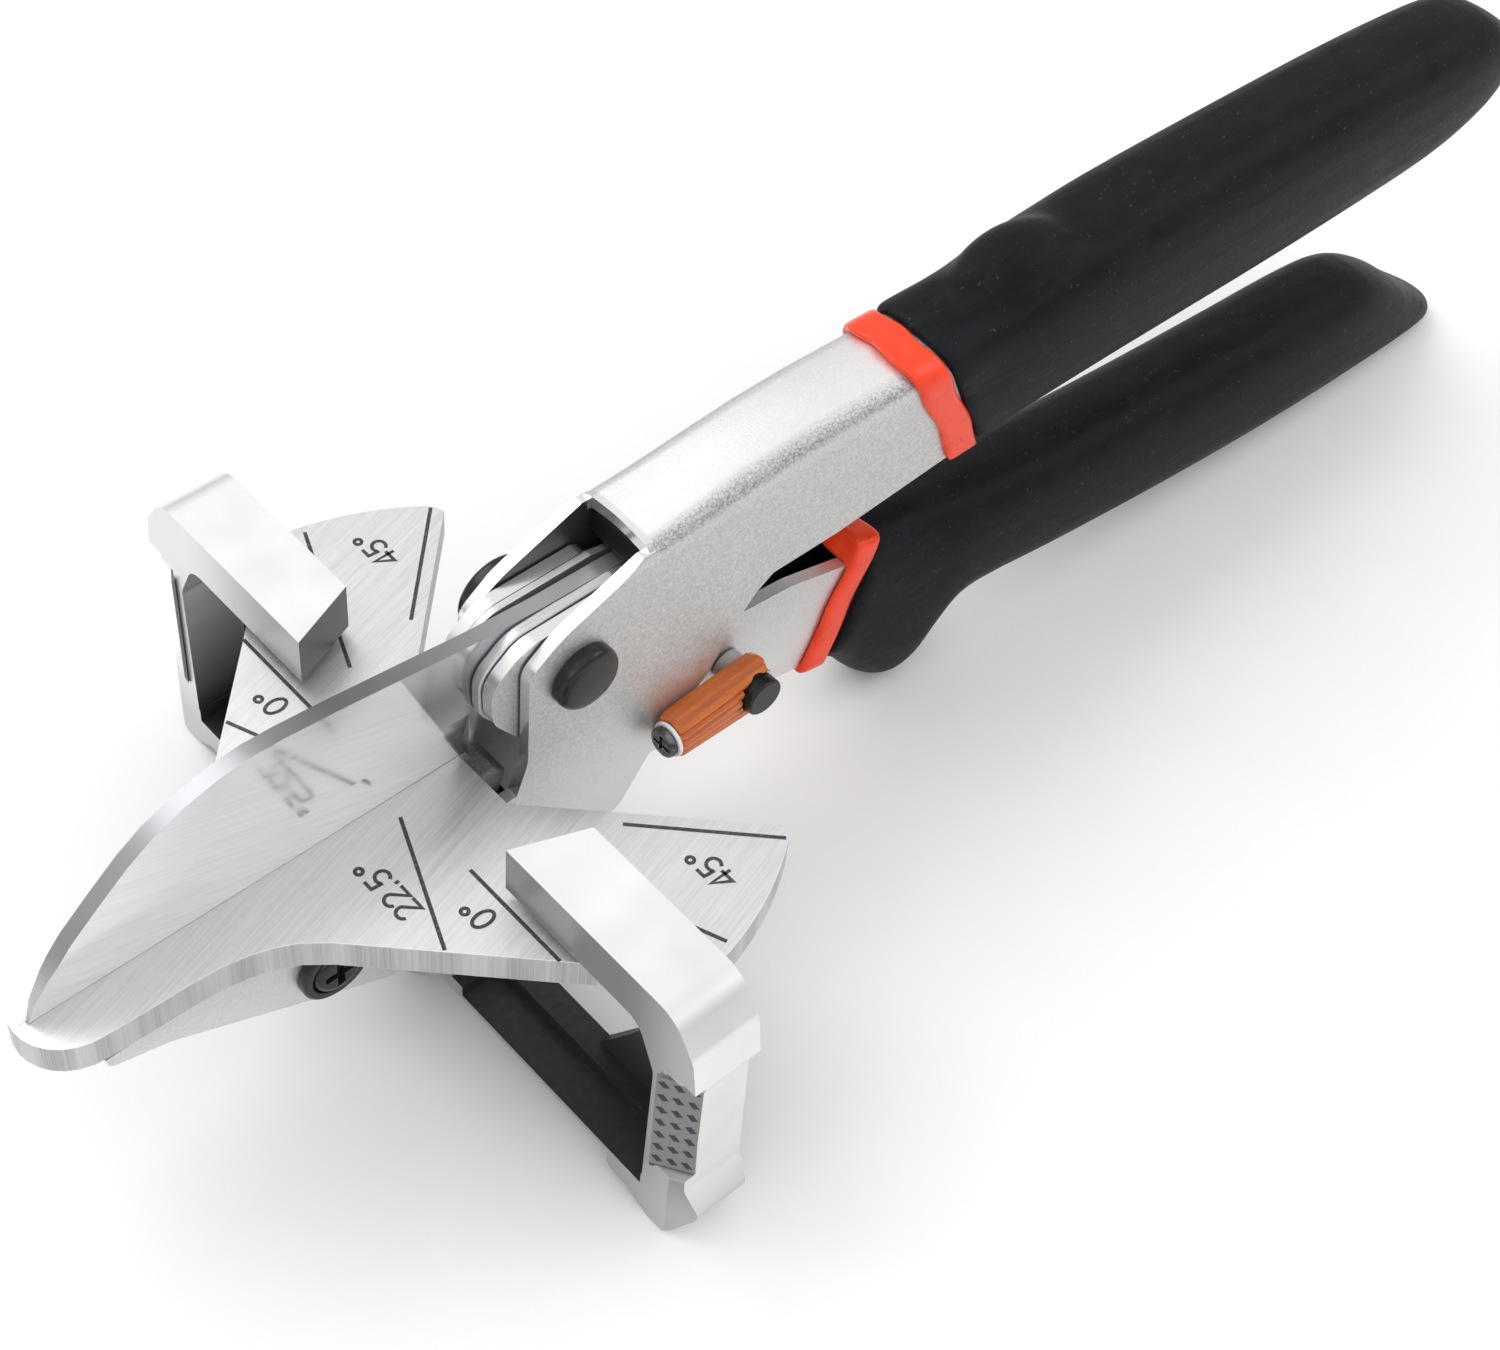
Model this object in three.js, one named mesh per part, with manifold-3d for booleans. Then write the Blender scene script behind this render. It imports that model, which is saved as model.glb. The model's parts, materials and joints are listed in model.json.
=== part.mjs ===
// Multi-angle miter shears with a swivelling fence, closed and latched. Millimetres, +Z up.
// Dimensions below are taken from the fence's swivel axis at the top face of the angle plate, with
// +X to the blade tip and +Y to the side that carries the latch. The finished shears are moved so
// that the origin is the middle of their bounding box on the ground.
import * as THREE from 'three';
import { mergeVertices } from 'three/addons/utils/BufferGeometryUtils.js';
import Module from 'manifold-3d';

const wasm = await Module();
wasm.setup();

// ---- driving dimensions -------------------------------------------------------------------
const GROUND_Z = -41.5;
const TAIL_X = -229.4; // rear end of the lower grip
const GAP = 0.1; // between parts that are fixed to each other
const RUN = 0.05; // radial clearance of a shaft in its hole
const SIDE = 0.3; // between sheets that turn past each other

const PLATE_T = 5.0;
const WING_R = 48.1;
const NOSE_X = 65.2;
const NOSE_HALF = 7.9;
const WING_FRONT = 41.4; // the wing's front edge is x + y = this
const WING_BACK = 7.2; // the wing's back edge is x + y = this
const PLATE_BACK_X = -3.4;
const SLIT_W = 0.8;
const SLIT_D = 0.7;

const FRAME_HALF = 7.5; // outside half width of the upper channel
const SHEET = 1.9;
const FRAME_TOP = 29.0; // at the front of the web
const FRAME_LOW = 8.6;
const FRAME_REAR = -194;
const TAIL_LOW = 12.5; // the channel's lower edge inside the grip
const WEB_FRONT = -30;
const FRAME_R = 4.0;
const CROWN = 0.8; // rise of the channel's top between its rounded edges
const SADDLE_Z = -28.0;

const PIVOT = [-18.4, 13.0];
const PIVOT_R = 4.0;
const CAP_R = 5.1;
const CAP_T = 2.5;
const NUT_END = 11.5;

const BLADE_T = 2.4;
const CLAMP_T = 1.8;
const LEFT_GAP = 0.7; // the left blade clamp is thinner and stands off the blade by this much more
const LOWER_HALF = FRAME_HALF - SHEET - SIDE;
const LOWER_T = 2.0;
const CROSS_PIN = [-39.5, 10.0];
const CROSS_PIN_R = 2.6;

const BAND_FRONT = -78.7; // at the height of FRAME_TOP; the band leans back below it
const BAND_LEAN = 0.47;
const BAND_W = 6;
const BAND_T = 1.5;
const BAND_LOW = 9.6;
const THUMB_REST = [-104, 0, 33.8];
const THUMB_RADII = [11.5, 6.3, 5.2];

const FENCE_X0 = -4.9;
const FENCE_X1 = 6.06;
const FENCE_TOP = 9.85;
const FENCE_UNDER = 1.6;
const FENCE_END_FRONT = 22.0;
const FENCE_END_REAR = 26.2;
const BAR_TOP = -33.0;
const BAR_LOW = -36.0;
const BAR_SKIN = 0.9; // what is left of the bar below its front recess
const HUB_R = 11.8;
const FENCE_BOLT_R = 3.0;
const DETENT = [1.7, 9.6];
const DETENT_R = 2.2;

const LATCH_PIN = [-47.8, -8.6];
const LATCH_PIN_R = 2.0;
const LATCH_Y0 = 7.9;
const LATCH_STEP = 11.5; // the lever is this thin round its pin
const LATCH_END_X = -32.8;
const LATCH_HEAD_R = 3.1;
const LATCH_HEAD_T = 2.4;
const LATCH_TIP_Y = 10.8;
const LATCH_TIP_Z = -9.0;
const LATCH_GROOVE = 0.45;
const CLAMP_SCREW = [23.9, -15.3];

const COLOURS = {
  bright: 0xd9dadc,
  satin: 0xc9c9c9,
  cast: 0x77797b,
  dark: 0x3a3c3e,
  grip: 0x1e2124,
  band: 0xf4502f,
  latch: 0xc8621d,
  blade: 0xe2e3e6,
};

// ---- solids ------------------------------------------------------------------------------
function tidy(geometry) {
  const bare = geometry.index ? geometry.toNonIndexed() : geometry;
  const only = new THREE.BufferGeometry();
  only.setAttribute('position', bare.getAttribute('position').clone());
  return mergeVertices(only, 1e-4);
}

function solid(geometry) {
  const merged = tidy(geometry);
  const vertProperties = new Float32Array(merged.getAttribute('position').array);
  const triVerts = new Uint32Array(merged.index.array);
  return new wasm.Manifold(new wasm.Mesh({ numProp: 3, vertProperties, triVerts }));
}

function geometryOf(manifold) {
  const mesh = manifold.getMesh();
  const out = new THREE.BufferGeometry();
  out.setAttribute('position', new THREE.BufferAttribute(new Float32Array(mesh.vertProperties), 3));
  out.setIndex(new THREE.BufferAttribute(new Uint32Array(mesh.triVerts), 1));
  out.computeVertexNormals();
  return out;
}

function join(...parts) {
  return parts.reduce((a, b) => a.add(b));
}

function cut(body, ...tools) {
  return tools.reduce((a, b) => a.subtract(b), body);
}

function shapeOf(points) {
  return new THREE.Shape(points.map(([u, v]) => new THREE.Vector2(u, v)));
}

function extrude(points, depth, bevel = 0, segments = 4) {
  const options = { depth: depth - 2 * bevel, steps: 1, bevelEnabled: bevel > 0, curveSegments: 8 };
  if (bevel > 0) {
    options.bevelThickness = bevel;
    options.bevelSize = bevel;
    options.bevelOffset = -bevel;
    options.bevelSegments = segments;
  }
  const geometry = new THREE.ExtrudeGeometry(shapeOf(points), options);
  if (bevel > 0) geometry.translate(0, 0, bevel);
  return geometry;
}

// outline in X and Z, from y0 to y1
function slabXZ(points, y0, y1, bevel = 0, segments = 4) {
  const geometry = extrude(points, y1 - y0, bevel, segments);
  geometry.rotateX(Math.PI / 2);
  geometry.translate(0, y1, 0);
  return solid(geometry);
}

// outline in X and Y, from z0 to z1
function slabXY(points, z0, z1, bevel = 0) {
  const geometry = extrude(points, z1 - z0, bevel);
  geometry.translate(0, 0, z0);
  return solid(geometry);
}

// outline in Y and Z, from x0 to x1
function slabYZ(points, x0, x1, bevel = 0) {
  const geometry = extrude(points, x1 - x0, bevel);
  geometry.applyMatrix4(new THREE.Matrix4().set(0, 0, 1, 0, 1, 0, 0, 0, 0, 1, 0, 0, 0, 0, 0, 1));
  geometry.translate(x0, 0, 0);
  return solid(geometry);
}

function box(low, high) {
  const size = high.map((v, i) => v - low[i]);
  const geometry = new THREE.BoxGeometry(...size);
  geometry.translate(...low.map((v, i) => v + size[i] / 2));
  return solid(geometry);
}

// a turned piece: profile of [radius, height] from axis to axis, placed along a named axis
function turned(profile, axis, at, segments = 24) {
  const points = profile.map(([r, h]) => new THREE.Vector2(r, h));
  const geometry = new THREE.LatheGeometry(points, segments);
  if (axis === 'z') geometry.rotateX(Math.PI / 2);
  if (axis === 'x') geometry.rotateZ(-Math.PI / 2);
  geometry.translate(...at);
  return solid(geometry);
}

function rod(radius, from, to, axis, at, segments = 24) {
  return turned([[0, from], [radius, from], [radius, to], [0, to]], axis, at, segments);
}

function domed(radius, from, to, round) {
  const s = Math.sign(to - from);
  const points = [[0, from], [radius, from], [radius, to - s * round]];
  for (let i = 1; i <= 3; i += 1) {
    const a = (i / 3) * (Math.PI / 2);
    points.push([radius - round * (1 - Math.cos(a)), to - s * round * (1 - Math.sin(a))]);
  }
  points.push([0, to]);
  return s > 0 ? points : points.reverse();
}

// corners [u, v, radius] to a polyline with an arc at each corner
function rounded(corners, steps = 4) {
  const out = [];
  const n = corners.length;
  for (let i = 0; i < n; i += 1) {
    const [px, py] = corners[(i + n - 1) % n];
    const [cx, cy, asked = 0] = corners[i];
    const [qx, qy] = corners[(i + 1) % n];
    if (asked <= 0) {
      out.push([cx, cy]);
      continue;
    }
    const toPrevious = new THREE.Vector2(px - cx, py - cy);
    const toNext = new THREE.Vector2(qx - cx, qy - cy);
    const room = 0.48 * Math.min(toPrevious.length(), toNext.length());
    const a = toPrevious.normalize();
    const b = toNext.normalize();
    const half = Math.acos(Math.max(-1, Math.min(1, a.dot(b)))) / 2;
    if (half > Math.PI / 2 - 0.005) {
      out.push([cx, cy]);
      continue;
    }
    const reach = Math.min(asked / Math.tan(half), room);
    const r = reach * Math.tan(half);
    const mid = a.clone().add(b).normalize().multiplyScalar(r / Math.sin(half));
    const centre = [cx + mid.x, cy + mid.y];
    const start = Math.atan2(cy + a.y * reach - centre[1], cx + a.x * reach - centre[0]);
    let sweep = Math.atan2(cy + b.y * reach - centre[1], cx + b.x * reach - centre[0]) - start;
    if (sweep > Math.PI) sweep -= 2 * Math.PI;
    if (sweep < -Math.PI) sweep += 2 * Math.PI;
    for (let k = 0; k <= steps; k += 1) {
      const t = start + (sweep * k) / steps;
      out.push([centre[0] + r * Math.cos(t), centre[1] + r * Math.sin(t)]);
    }
  }
  return out;
}

// a smooth body through stations of [x, lowest z, highest z, half width], rings across X
function loft(stations, steps, exponent = 2.7, around = 20) {
  const curve = (k) => new THREE.SplineCurve(stations.map((s, i) => new THREE.Vector2(i, s[k])));
  const curves = [0, 1, 2, 3].map(curve);
  const rings = [];
  for (let i = 0; i <= steps; i += 1) {
    const [x, low, high, half] = curves.map((c) => c.getPoint(i / steps).y);
    const ring = [];
    for (let k = 0; k < around; k += 1) {
      const a = (k / around) * 2 * Math.PI;
      const bulge = (v) => Math.sign(v) * Math.abs(v) ** (2 / exponent);
      const y = half * bulge(Math.cos(a));
      const z = (low + high) / 2 + ((high - low) / 2) * bulge(Math.sin(a));
      ring.push([x, y, z]);
    }
    rings.push(ring);
  }
  return skin(rings);
}

// a closed body over rings of [x, y, z], with a fan at each end
function skin(rings) {
  const last = rings.length - 1;
  const around = rings[0].length;
  const ends = [rings[0], rings[last]].map((ring) => {
    const heights = ring.map((p) => p[2]);
    return [ring[0][0], 0, (Math.max(...heights) + Math.min(...heights)) / 2];
  });
  const triangles = [];
  for (let k = 0; k < around; k += 1) {
    const n = (k + 1) % around;
    triangles.push(ends[0], rings[0][k], rings[0][n], ends[1], rings[last][n], rings[last][k]);
    for (let i = 0; i < last; i += 1) {
      triangles.push(rings[i][k], rings[i + 1][k], rings[i][n]);
      triangles.push(rings[i][n], rings[i + 1][k], rings[i + 1][n]);
    }
  }
  const geometry = new THREE.BufferGeometry();
  geometry.setAttribute('position', new THREE.Float32BufferAttribute(triangles.flat(), 3));
  const body = solid(geometry);
  return body.volume() > 0 ? body : solid(flipped(geometry));
}

function flipped(geometry) {
  const array = geometry.getAttribute('position').array.slice();
  for (let i = 0; i < array.length; i += 9) {
    for (let k = 0; k < 3; k += 1) {
      const held = array[i + 3 + k];
      array[i + 3 + k] = array[i + 6 + k];
      array[i + 6 + k] = held;
    }
  }
  const out = new THREE.BufferGeometry();
  out.setAttribute('position', new THREE.BufferAttribute(array, 3));
  return out;
}

function ellipsoid(centre, radii) {
  const geometry = new THREE.SphereGeometry(1, 20, 12);
  geometry.scale(...radii);
  geometry.translate(...centre);
  return solid(geometry);
}

function mirrored(points, axisIndex) {
  return points.map((p) => p.map((v, i) => (i === axisIndex ? -v : v))).reverse();
}

// ---- upper handle, cheeks and plate support ------------------------------------------------
// stations of [x, top of the sheet at its edges, radius of its edges] along the upper channel
const CHANNEL_TOP = [
  [FRAME_REAR, 30.6, FRAME_R],
  [-84, 30.6, FRAME_R],
  [-76, 30.9, FRAME_R],
  [-66, 31.2, FRAME_R],
  [-56, 31.0, FRAME_R],
  [-46, 30.2, FRAME_R],
  [-38, 29.2, 3.6],
  [WEB_FRONT, 28.6, 3.2],
];

function channelBody(grow, reach = 0, low = FRAME_LOW) {
  const w = FRAME_HALF + grow;
  const rings = CHANNEL_TOP.map(([x, top, edge], i) => {
    const at = x + (i === 0 ? -reach : 0) + (i === CHANNEL_TOP.length - 1 ? reach : 0);
    const section = rounded([
      [-w, low],
      [w, low],
      [w, top + grow, edge + grow],
      [0, top + grow + CROWN, 18],
      [-w, top + grow, edge + grow],
    ], 5);
    return section.map(([y, z]) => [at, y, z]);
  });
  return skin(rings);
}

// the channel's lower edge rises towards the band and runs higher inside the grip
function underside(drop) {
  return slabXZ(
    [[-66, FRAME_LOW - drop], [-90, 10.4 - drop], [-96, TAIL_LOW - drop],
      [FRAME_REAR - 2, TAIL_LOW - drop], [FRAME_REAR - 2, 0], [-66, 0]].reverse(),
    -20,
    20,
  );
}

function leaning(x, z) {
  return [x - BAND_LEAN * (FRAME_TOP - z), z];
}

function leaningSlab(front, rear) {
  return slabXZ([leaning(front, -10), leaning(front, 50), leaning(rear, 50), leaning(rear, -10)], -20, 20);
}

function cheekOutline() {
  return rounded([
    [57.6, -5.2],
    [57.2, -7.2, 1.5],
    [48.5, -10.0, 8],
    [27.0, -21.3, 10],
    [14.5, SADDLE_Z, 4],
    [-18.0, SADDLE_Z, 6],
    [-27.0, -22.6, 3],
    [-31.6, -15.6, 3],
    [-42.6, -4.6, 3],
    [-46.2, 1.6, 5],
    [-50.5, FRAME_LOW - 2.0, 1.2],
    [-53.5, FRAME_LOW],
    [-60.0, FRAME_LOW],
    [-60.0, FRAME_TOP - FRAME_R],
    [WEB_FRONT - 1.0, FRAME_TOP - FRAME_R],
    [WEB_FRONT - 1.0, FRAME_TOP - 1.2],
    [WEB_FRONT + 1.2, FRAME_TOP - 1.2, 1],
    [-15.0, 22.4, 12],
    [-9.5, 18.2, 3.5],
    [-9.5, 0.5, 8],
    [-7.6, -5.2],
  ]);
}

function frameChannel() {
  const outer = channelBody(0);
  const inner = channelBody(-SHEET, 1, FRAME_LOW - 2);
  const outline = cheekOutline();
  const sheets = join(
    slabXZ(outline, FRAME_HALF - SHEET, FRAME_HALF),
    slabXZ(outline, -FRAME_HALF, SHEET - FRAME_HALF),
  );
  // the sheets follow the channel's rounded edges
  const cheeks = sheets.intersect(channelBody(0, 100, -60));
  const saddle = box([-17, -FRAME_HALF + 0.5, SADDLE_Z], [13.6, FRAME_HALF - 0.5, SADDLE_Z + SHEET]);
  const body = join(cut(outer, inner), cheeks, saddle);
  return cut(
    body,
    underside(0),
    rod(PIVOT_R + RUN, -20, 20, 'y', [PIVOT[0], 0, PIVOT[1]]),
    rod(2.6, -20, 20, 'y', [CLAMP_SCREW[0], 0, CLAMP_SCREW[1]]),
    rod(FENCE_BOLT_R + RUN, -32, -22, 'z', [0, 0, 0]),
  );
}

function bumperBlock() {
  return slabXZ(
    rounded([[-37, 22.0], [-29.6, 22.0, 0.8], [-30.6, FRAME_TOP - SHEET - 1.1, 0.8],
      [-37, FRAME_TOP - SHEET - 1.1]]),
    -5.45,
    5.45,
    0.6,
    2,
  );
}

// ---- grips and colour bands ---------------------------------------------------------------
// stations of [x, lowest z, highest z, half width]
const UPPER_GRIP = [
  [-74.0, 7.0, 32.0, 9.0],
  [-90.0, 7.0, 32.4, 9.2],
  [-98.0, 7.4, 34.0, 9.6],
  [-106.0, 7.6, 35.2, 10.0],
  [-114.0, 7.7, 35.8, 10.2],
  [-130.0, 7.4, 36.2, 10.3],
  [-155.0, 6.6, 35.8, 10.2],
  [-180.0, 6.4, 35.0, 10.0],
  [-200.0, 7.2, 33.4, 9.8],
  [-212.0, 9.8, 31.4, 9.2],
  [-219.0, 13.4, 27.6, 7.8],
  [-222.6, 16.0, 24.4, 5.4],
  [-223.6, 19.0, 21.0, 1.6],
];

function upperGrip() {
  const skinned = loft(UPPER_GRIP, 30);
  const pocket = cut(channelBody(GAP, GAP, FRAME_LOW - GAP), underside(GAP));
  const face = leaningSlab(BAND_FRONT + 60, BAND_FRONT - BAND_W - GAP);
  return cut(join(skinned, ellipsoid(THUMB_REST, THUMB_RADII)), pocket, face);
}

function upperBand() {
  const strip = leaningSlab(BAND_FRONT, BAND_FRONT - BAND_W);
  const ring = cut(channelBody(BAND_T, 0, BAND_LOW), channelBody(GAP, 1, 0));
  return ring.intersect(strip);
}

// lower handle: outline of the sheet's side, front ears first
function lowerOutline() {
  return rounded([
    [-27.5, 21.4, 1.6],
    [-10.5, 21.4, 6],
    [-5.0, 17.0, 5],
    [-5.2, 10.0, 6],
    [-12.0, 0.6, 5],
    [-22.0, -9.0, 8],
    [-32.0, -19.0, 10],
    [-58.0, -20.6, 14],
    [-84.0, -26.6, 20],
    [-120.0, -30.0, 40],
    [-190.0, -35.4],
    [-188.0, -21.4],
    [-120.0, -13.8, 40],
    [-84.0, -7.8, 20],
    [-60.0, -0.8, 12],
    [-48.0, 0.6, 10],
    [-31.0, 15.0, 8],
  ]);
}

function lowerChannel() {
  const outline = lowerOutline();
  const right = slabXZ(outline, LOWER_HALF - LOWER_T, LOWER_HALF);
  const left = slabXZ(outline, -LOWER_HALF, LOWER_T - LOWER_HALF);
  const web = slabXZ(
    rounded([
      [-30.0, -17.0],
      [-32.0, -19.0, 10],
      [-58.0, -20.6, 14],
      [-84.0, -26.6, 20],
      [-120.0, -30.0, 40],
      [-190.0, -35.4],
      [-189.8, -33.4],
      [-120.0, -28.0, 38],
      [-84.0, -24.6, 20],
      [-58.0, -18.6, 12],
      [-33.0, -17.0, 8],
    ]),
    -LOWER_HALF + 0.4,
    LOWER_HALF - 0.4,
  );
  return cut(
    join(right, left, web),
    rod(PIVOT_R + RUN, -20, 20, 'y', [PIVOT[0], 0, PIVOT[1]]),
    rod(CROSS_PIN_R + RUN, -20, 20, 'y', [CROSS_PIN[0], 0, CROSS_PIN[1]]),
    rod(LATCH_PIN_R + RUN, -20, 20, 'y', [LATCH_PIN[0], 0, LATCH_PIN[1]]),
  );
}

function lowerSleeve(points, half, bevel, pocketGap) {
  const sleeve = slabXZ(points, -half, half, bevel);
  const pocket = slabXZ(lowerPocket(pocketGap), -LOWER_HALF - pocketGap, LOWER_HALF + pocketGap);
  return cut(sleeve, pocket);
}

// the solid envelope of the lower sheet channel, grown by a gap
function lowerPocket(gap) {
  return rounded([
    [-45.0, -20.6 - gap],
    [-58.0, -20.6 - gap, 14],
    [-84.0, -26.6 - gap, 20],
    [-120.0, -30.0 - gap, 40],
    [-190.0 - gap, -35.4 - gap],
    [-188.0 - gap, -21.4 + gap],
    [-120.0, -13.8 + gap, 40],
    [-84.0, -7.8 + gap, 20],
    [-60.0, -0.8 + gap, 12],
    [-45.0, -0.2 + gap],
  ]);
}

function lowerBand() {
  return lowerSleeve(
    [[-72.7, 0.6], [-63.2, -23.1], [-69.0, -24.5], [-77.7, -0.9]].reverse(),
    LOWER_HALF + 1.5,
    1.2,
    GAP,
  );
}

const LOWER_GRIP = [
  [-56.0, -23.0, 1.0, 7.2],
  [-66.0, -24.5, 0.2, 7.3],
  [-73.0, -28.4, -1.4, 7.5],
  [-79.2, -36.4, -2.8, 7.8],
  [-85.2, -41.6, -4.1, 8.1],
  [-89.8, -41.5, -5.0, 8.3],
  [-93.8, -35.6, -5.8, 8.5],
  [-98.2, -30.7, -6.6, 8.7],
  [-106.0, -30.6, -7.8, 8.9],
  [-120.0, -33.0, -9.6, 9.1],
  [-145.0, -36.6, -12.4, 9.3],
  [-170.0, -39.4, -14.6, 9.4],
  [-188.0, -40.8, -15.8, 9.3],
  [-200.0, -41.5, -17.8, 9.0],
  [-210.0, -41.8, -23.6, 8.4],
  [-219.0, -41.9, -31.0, 7.4],
  [-226.0, -41.9, -36.4, 6.0],
  [TAIL_X, -41.4, -38.8, 3.0],
];

function lowerGrip() {
  const skinned = loft(LOWER_GRIP, 44);
  const pocket = slabXZ(lowerPocket(GAP), -LOWER_HALF - GAP, LOWER_HALF + GAP);
  const floor = box([-260, -30, GROUND_Z - 12], [0, 30, GROUND_Z]);
  const front = slabXZ([[-20, -40], [-20, 20], [-81.5, 8.0], [-62.5, -43.0]].reverse(), -20, 20);
  return cut(skinned, pocket, floor, front);
}

// ---- blade pack ---------------------------------------------------------------------------
function bladeOutline() {
  return [
    [63.4, -0.5], [62.0, 3.6], [59.6, 7.4], [56.2, 11.5], [52.0, 15.4], [47.2, 19.6], [43.4, 22.2],
    [38.4, 24.5], [33.4, 25.9], [28.6, 26.4], [24.0, 26.2], [15.5, 25.3], [5.0, 23.9], [-6.0, 22.4],
    [-17.0, 21.5], [-28.0, 21.2], [-38.0, 20.6], [-44.0, 19.0], [-50.4, 15.4], [-51.6, 12.9],
    [-41.0, 12.9], [-39.6, 13.0], [-38.2, 12.7], [-37.0, 11.8], [-36.5, 10.6], [-36.5, 9.4],
    [-37.0, 8.2], [-38.2, 7.3], [-39.6, 7.0], [-41.0, 7.1], [-51.6, 7.1], [-51.6, 2.0], [-50.6, 0.6],
    [-49.0, 0.1], [-4.5, 0.1], [-2.6, -0.5],
  ].reverse();
}

function blade() {
  const body = slabXZ(bladeOutline(), -BLADE_T / 2, BLADE_T / 2);
  const edge = 0.2;
  const run = (s) => slabYZ(
    s > 0
      ? [[edge, -1.0], [BLADE_T, -1.0], [BLADE_T, 9.0], [BLADE_T / 2, 9.0]]
      : [[-BLADE_T / 2, 9.0], [-BLADE_T, 9.0], [-BLADE_T, -1.0], [-edge, -1.0]],
    -4.4,
    70,
  );
  return cut(body, run(1), run(-1), rod(PIVOT_R + RUN, -9, 9, 'y', [PIVOT[0], 0, PIVOT[1]]));
}

function clampPlate(side) {
  const outline = rounded([
    [-46.0, 18.0, 2],
    [-27.6, 21.6, 1.6],
    [-10.3, 21.6, 6],
    [-4.6, 17.2, 5],
    [-4.8, 9.9, 6],
    [-11.8, 0.3, 5],
    [-18.0, -5.0, 4],
    [-46.0, 2.5, 3],
  ]);
  const inner = BLADE_T / 2 + GAP;
  const outer = inner + CLAMP_T;
  const [y0, y1] = side > 0 ? [inner, outer] : [-outer, -inner - LEFT_GAP];
  return cut(
    slabXZ(outline, y0, y1),
    rod(PIVOT_R + RUN, -9, 9, 'y', [PIVOT[0], 0, PIVOT[1]]),
    rod(CROSS_PIN_R + RUN, -9, 9, 'y', [CROSS_PIN[0], 0, CROSS_PIN[1]]),
  );
}

function crossPin() {
  return rod(CROSS_PIN_R, -LOWER_HALF, LOWER_HALF, 'y', [CROSS_PIN[0], 0, CROSS_PIN[1]], 24);
}

// ---- main pivot ---------------------------------------------------------------------------
function pivotBolt() {
  const seat = FRAME_HALF + GAP;
  const head = turned(domed(CAP_R, seat, seat + CAP_T, 0.7), 'y', [PIVOT[0], 0, PIVOT[1]], 40);
  return join(head, rod(PIVOT_R, -NUT_END - 0.1, seat + 1, 'y', [PIVOT[0], 0, PIVOT[1]]));
}

function pivotNut() {
  const seat = -FRAME_HALF - GAP;
  const body = turned(domed(6.3, seat, -NUT_END, 0.9), 'y', [PIVOT[0], 0, PIVOT[1]], 40);
  return cut(body, rod(PIVOT_R + RUN, -20, 0, 'y', [PIVOT[0], 0, PIVOT[1]]));
}

// ---- angle plate --------------------------------------------------------------------------
function plateHalf() {
  const wingTip = (WING_FRONT - Math.sqrt(2 * WING_R ** 2 - WING_FRONT ** 2)) / 2;
  const backTip = (WING_BACK - Math.sqrt(2 * WING_R ** 2 - WING_BACK ** 2)) / 2;
  const front = Math.atan2(WING_FRONT - wingTip, wingTip);
  const back = Math.atan2(WING_BACK - backTip, backTip);
  const nose = [];
  const flank = [[50, NOSE_HALF - 0.1], [45, NOSE_HALF], [40.5, NOSE_HALF + 0.3], [37, 8.9], [34, 9.8],
    [30.8, 11.4], [27.5, 14.0]];
  for (let i = 0; i < 8; i += 1) {
    const a = (i / 7) * (Math.PI / 2);
    nose.push([NOSE_X - 8.2 * (1 - Math.cos(a)), 7.5 * Math.sin(a)]);
  }
  const arc = [];
  for (let i = 0; i <= 12; i += 1) {
    const a = front + ((back - front) * i) / 12;
    arc.push([WING_R * Math.cos(a), WING_R * Math.sin(a)]);
  }
  const [rx, ry] = arc.pop();
  arc.push([rx + 1.1, ry + 0.5], [rx + 0.6, ry - 0.9]);
  return [...nose.slice(1), ...flank, ...arc, [PLATE_BACK_X, WING_BACK - PLATE_BACK_X]];
}

function anglePlate() {
  const half = plateHalf();
  const outline = [[NOSE_X, 0], ...half, ...mirrored(half, 1)];
  const plate = slabXY(outline, -PLATE_T, 0);
  const slit = box([PLATE_BACK_X - 5, -SLIT_W / 2, -SLIT_D], [NOSE_X - 1.2, SLIT_W / 2, 5]);
  return cut(plate, slit);
}

function plateBlock() {
  const rib = slabXZ(
    [[-8.4, -3.0], [-6.6, -1.4], [-3.8, -1.4], [-3.8, -PLATE_T - GAP], [50.0, -PLATE_T - GAP],
      [48.0, -8.0], [28.0, -19.0], [17.0, -23.4], [9.0, -12.0], [-5.4, -11.0]].reverse(),
    -4.6,
    4.6,
    0.5,
    1,
  );
  return cut(rib, rod(2.6, -20, 20, 'y', [CLAMP_SCREW[0], 0, CLAMP_SCREW[1]]));
}

function clampWasher() {
  const seat = FRAME_HALF + GAP;
  const ring = turned(domed(5.5, seat, seat + 1.6, 0.5), 'y', [CLAMP_SCREW[0], 0, CLAMP_SCREW[1]], 36);
  return cut(ring, rod(4.1, 0, 20, 'y', [CLAMP_SCREW[0], 0, CLAMP_SCREW[1]], 36));
}

function phillips(axis, at, face, size, depth) {
  const a = size / 2;
  const w = size / 9;
  const s = Math.sign(depth);
  const near = Math.min(face - depth, face + s);
  const far = Math.max(face - depth, face + s);
  if (axis === 'y') {
    return join(
      box([at[0] - a, near, at[2] - w], [at[0] + a, far, at[2] + w]),
      box([at[0] - w, near, at[2] - a], [at[0] + w, far, at[2] + a]),
    );
  }
  return join(
    box([near, at[1] - a, at[2] - w], [far, at[1] + a, at[2] + w]),
    box([near, at[1] - w, at[2] - a], [far, at[1] + w, at[2] + a]),
  );
}

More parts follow.
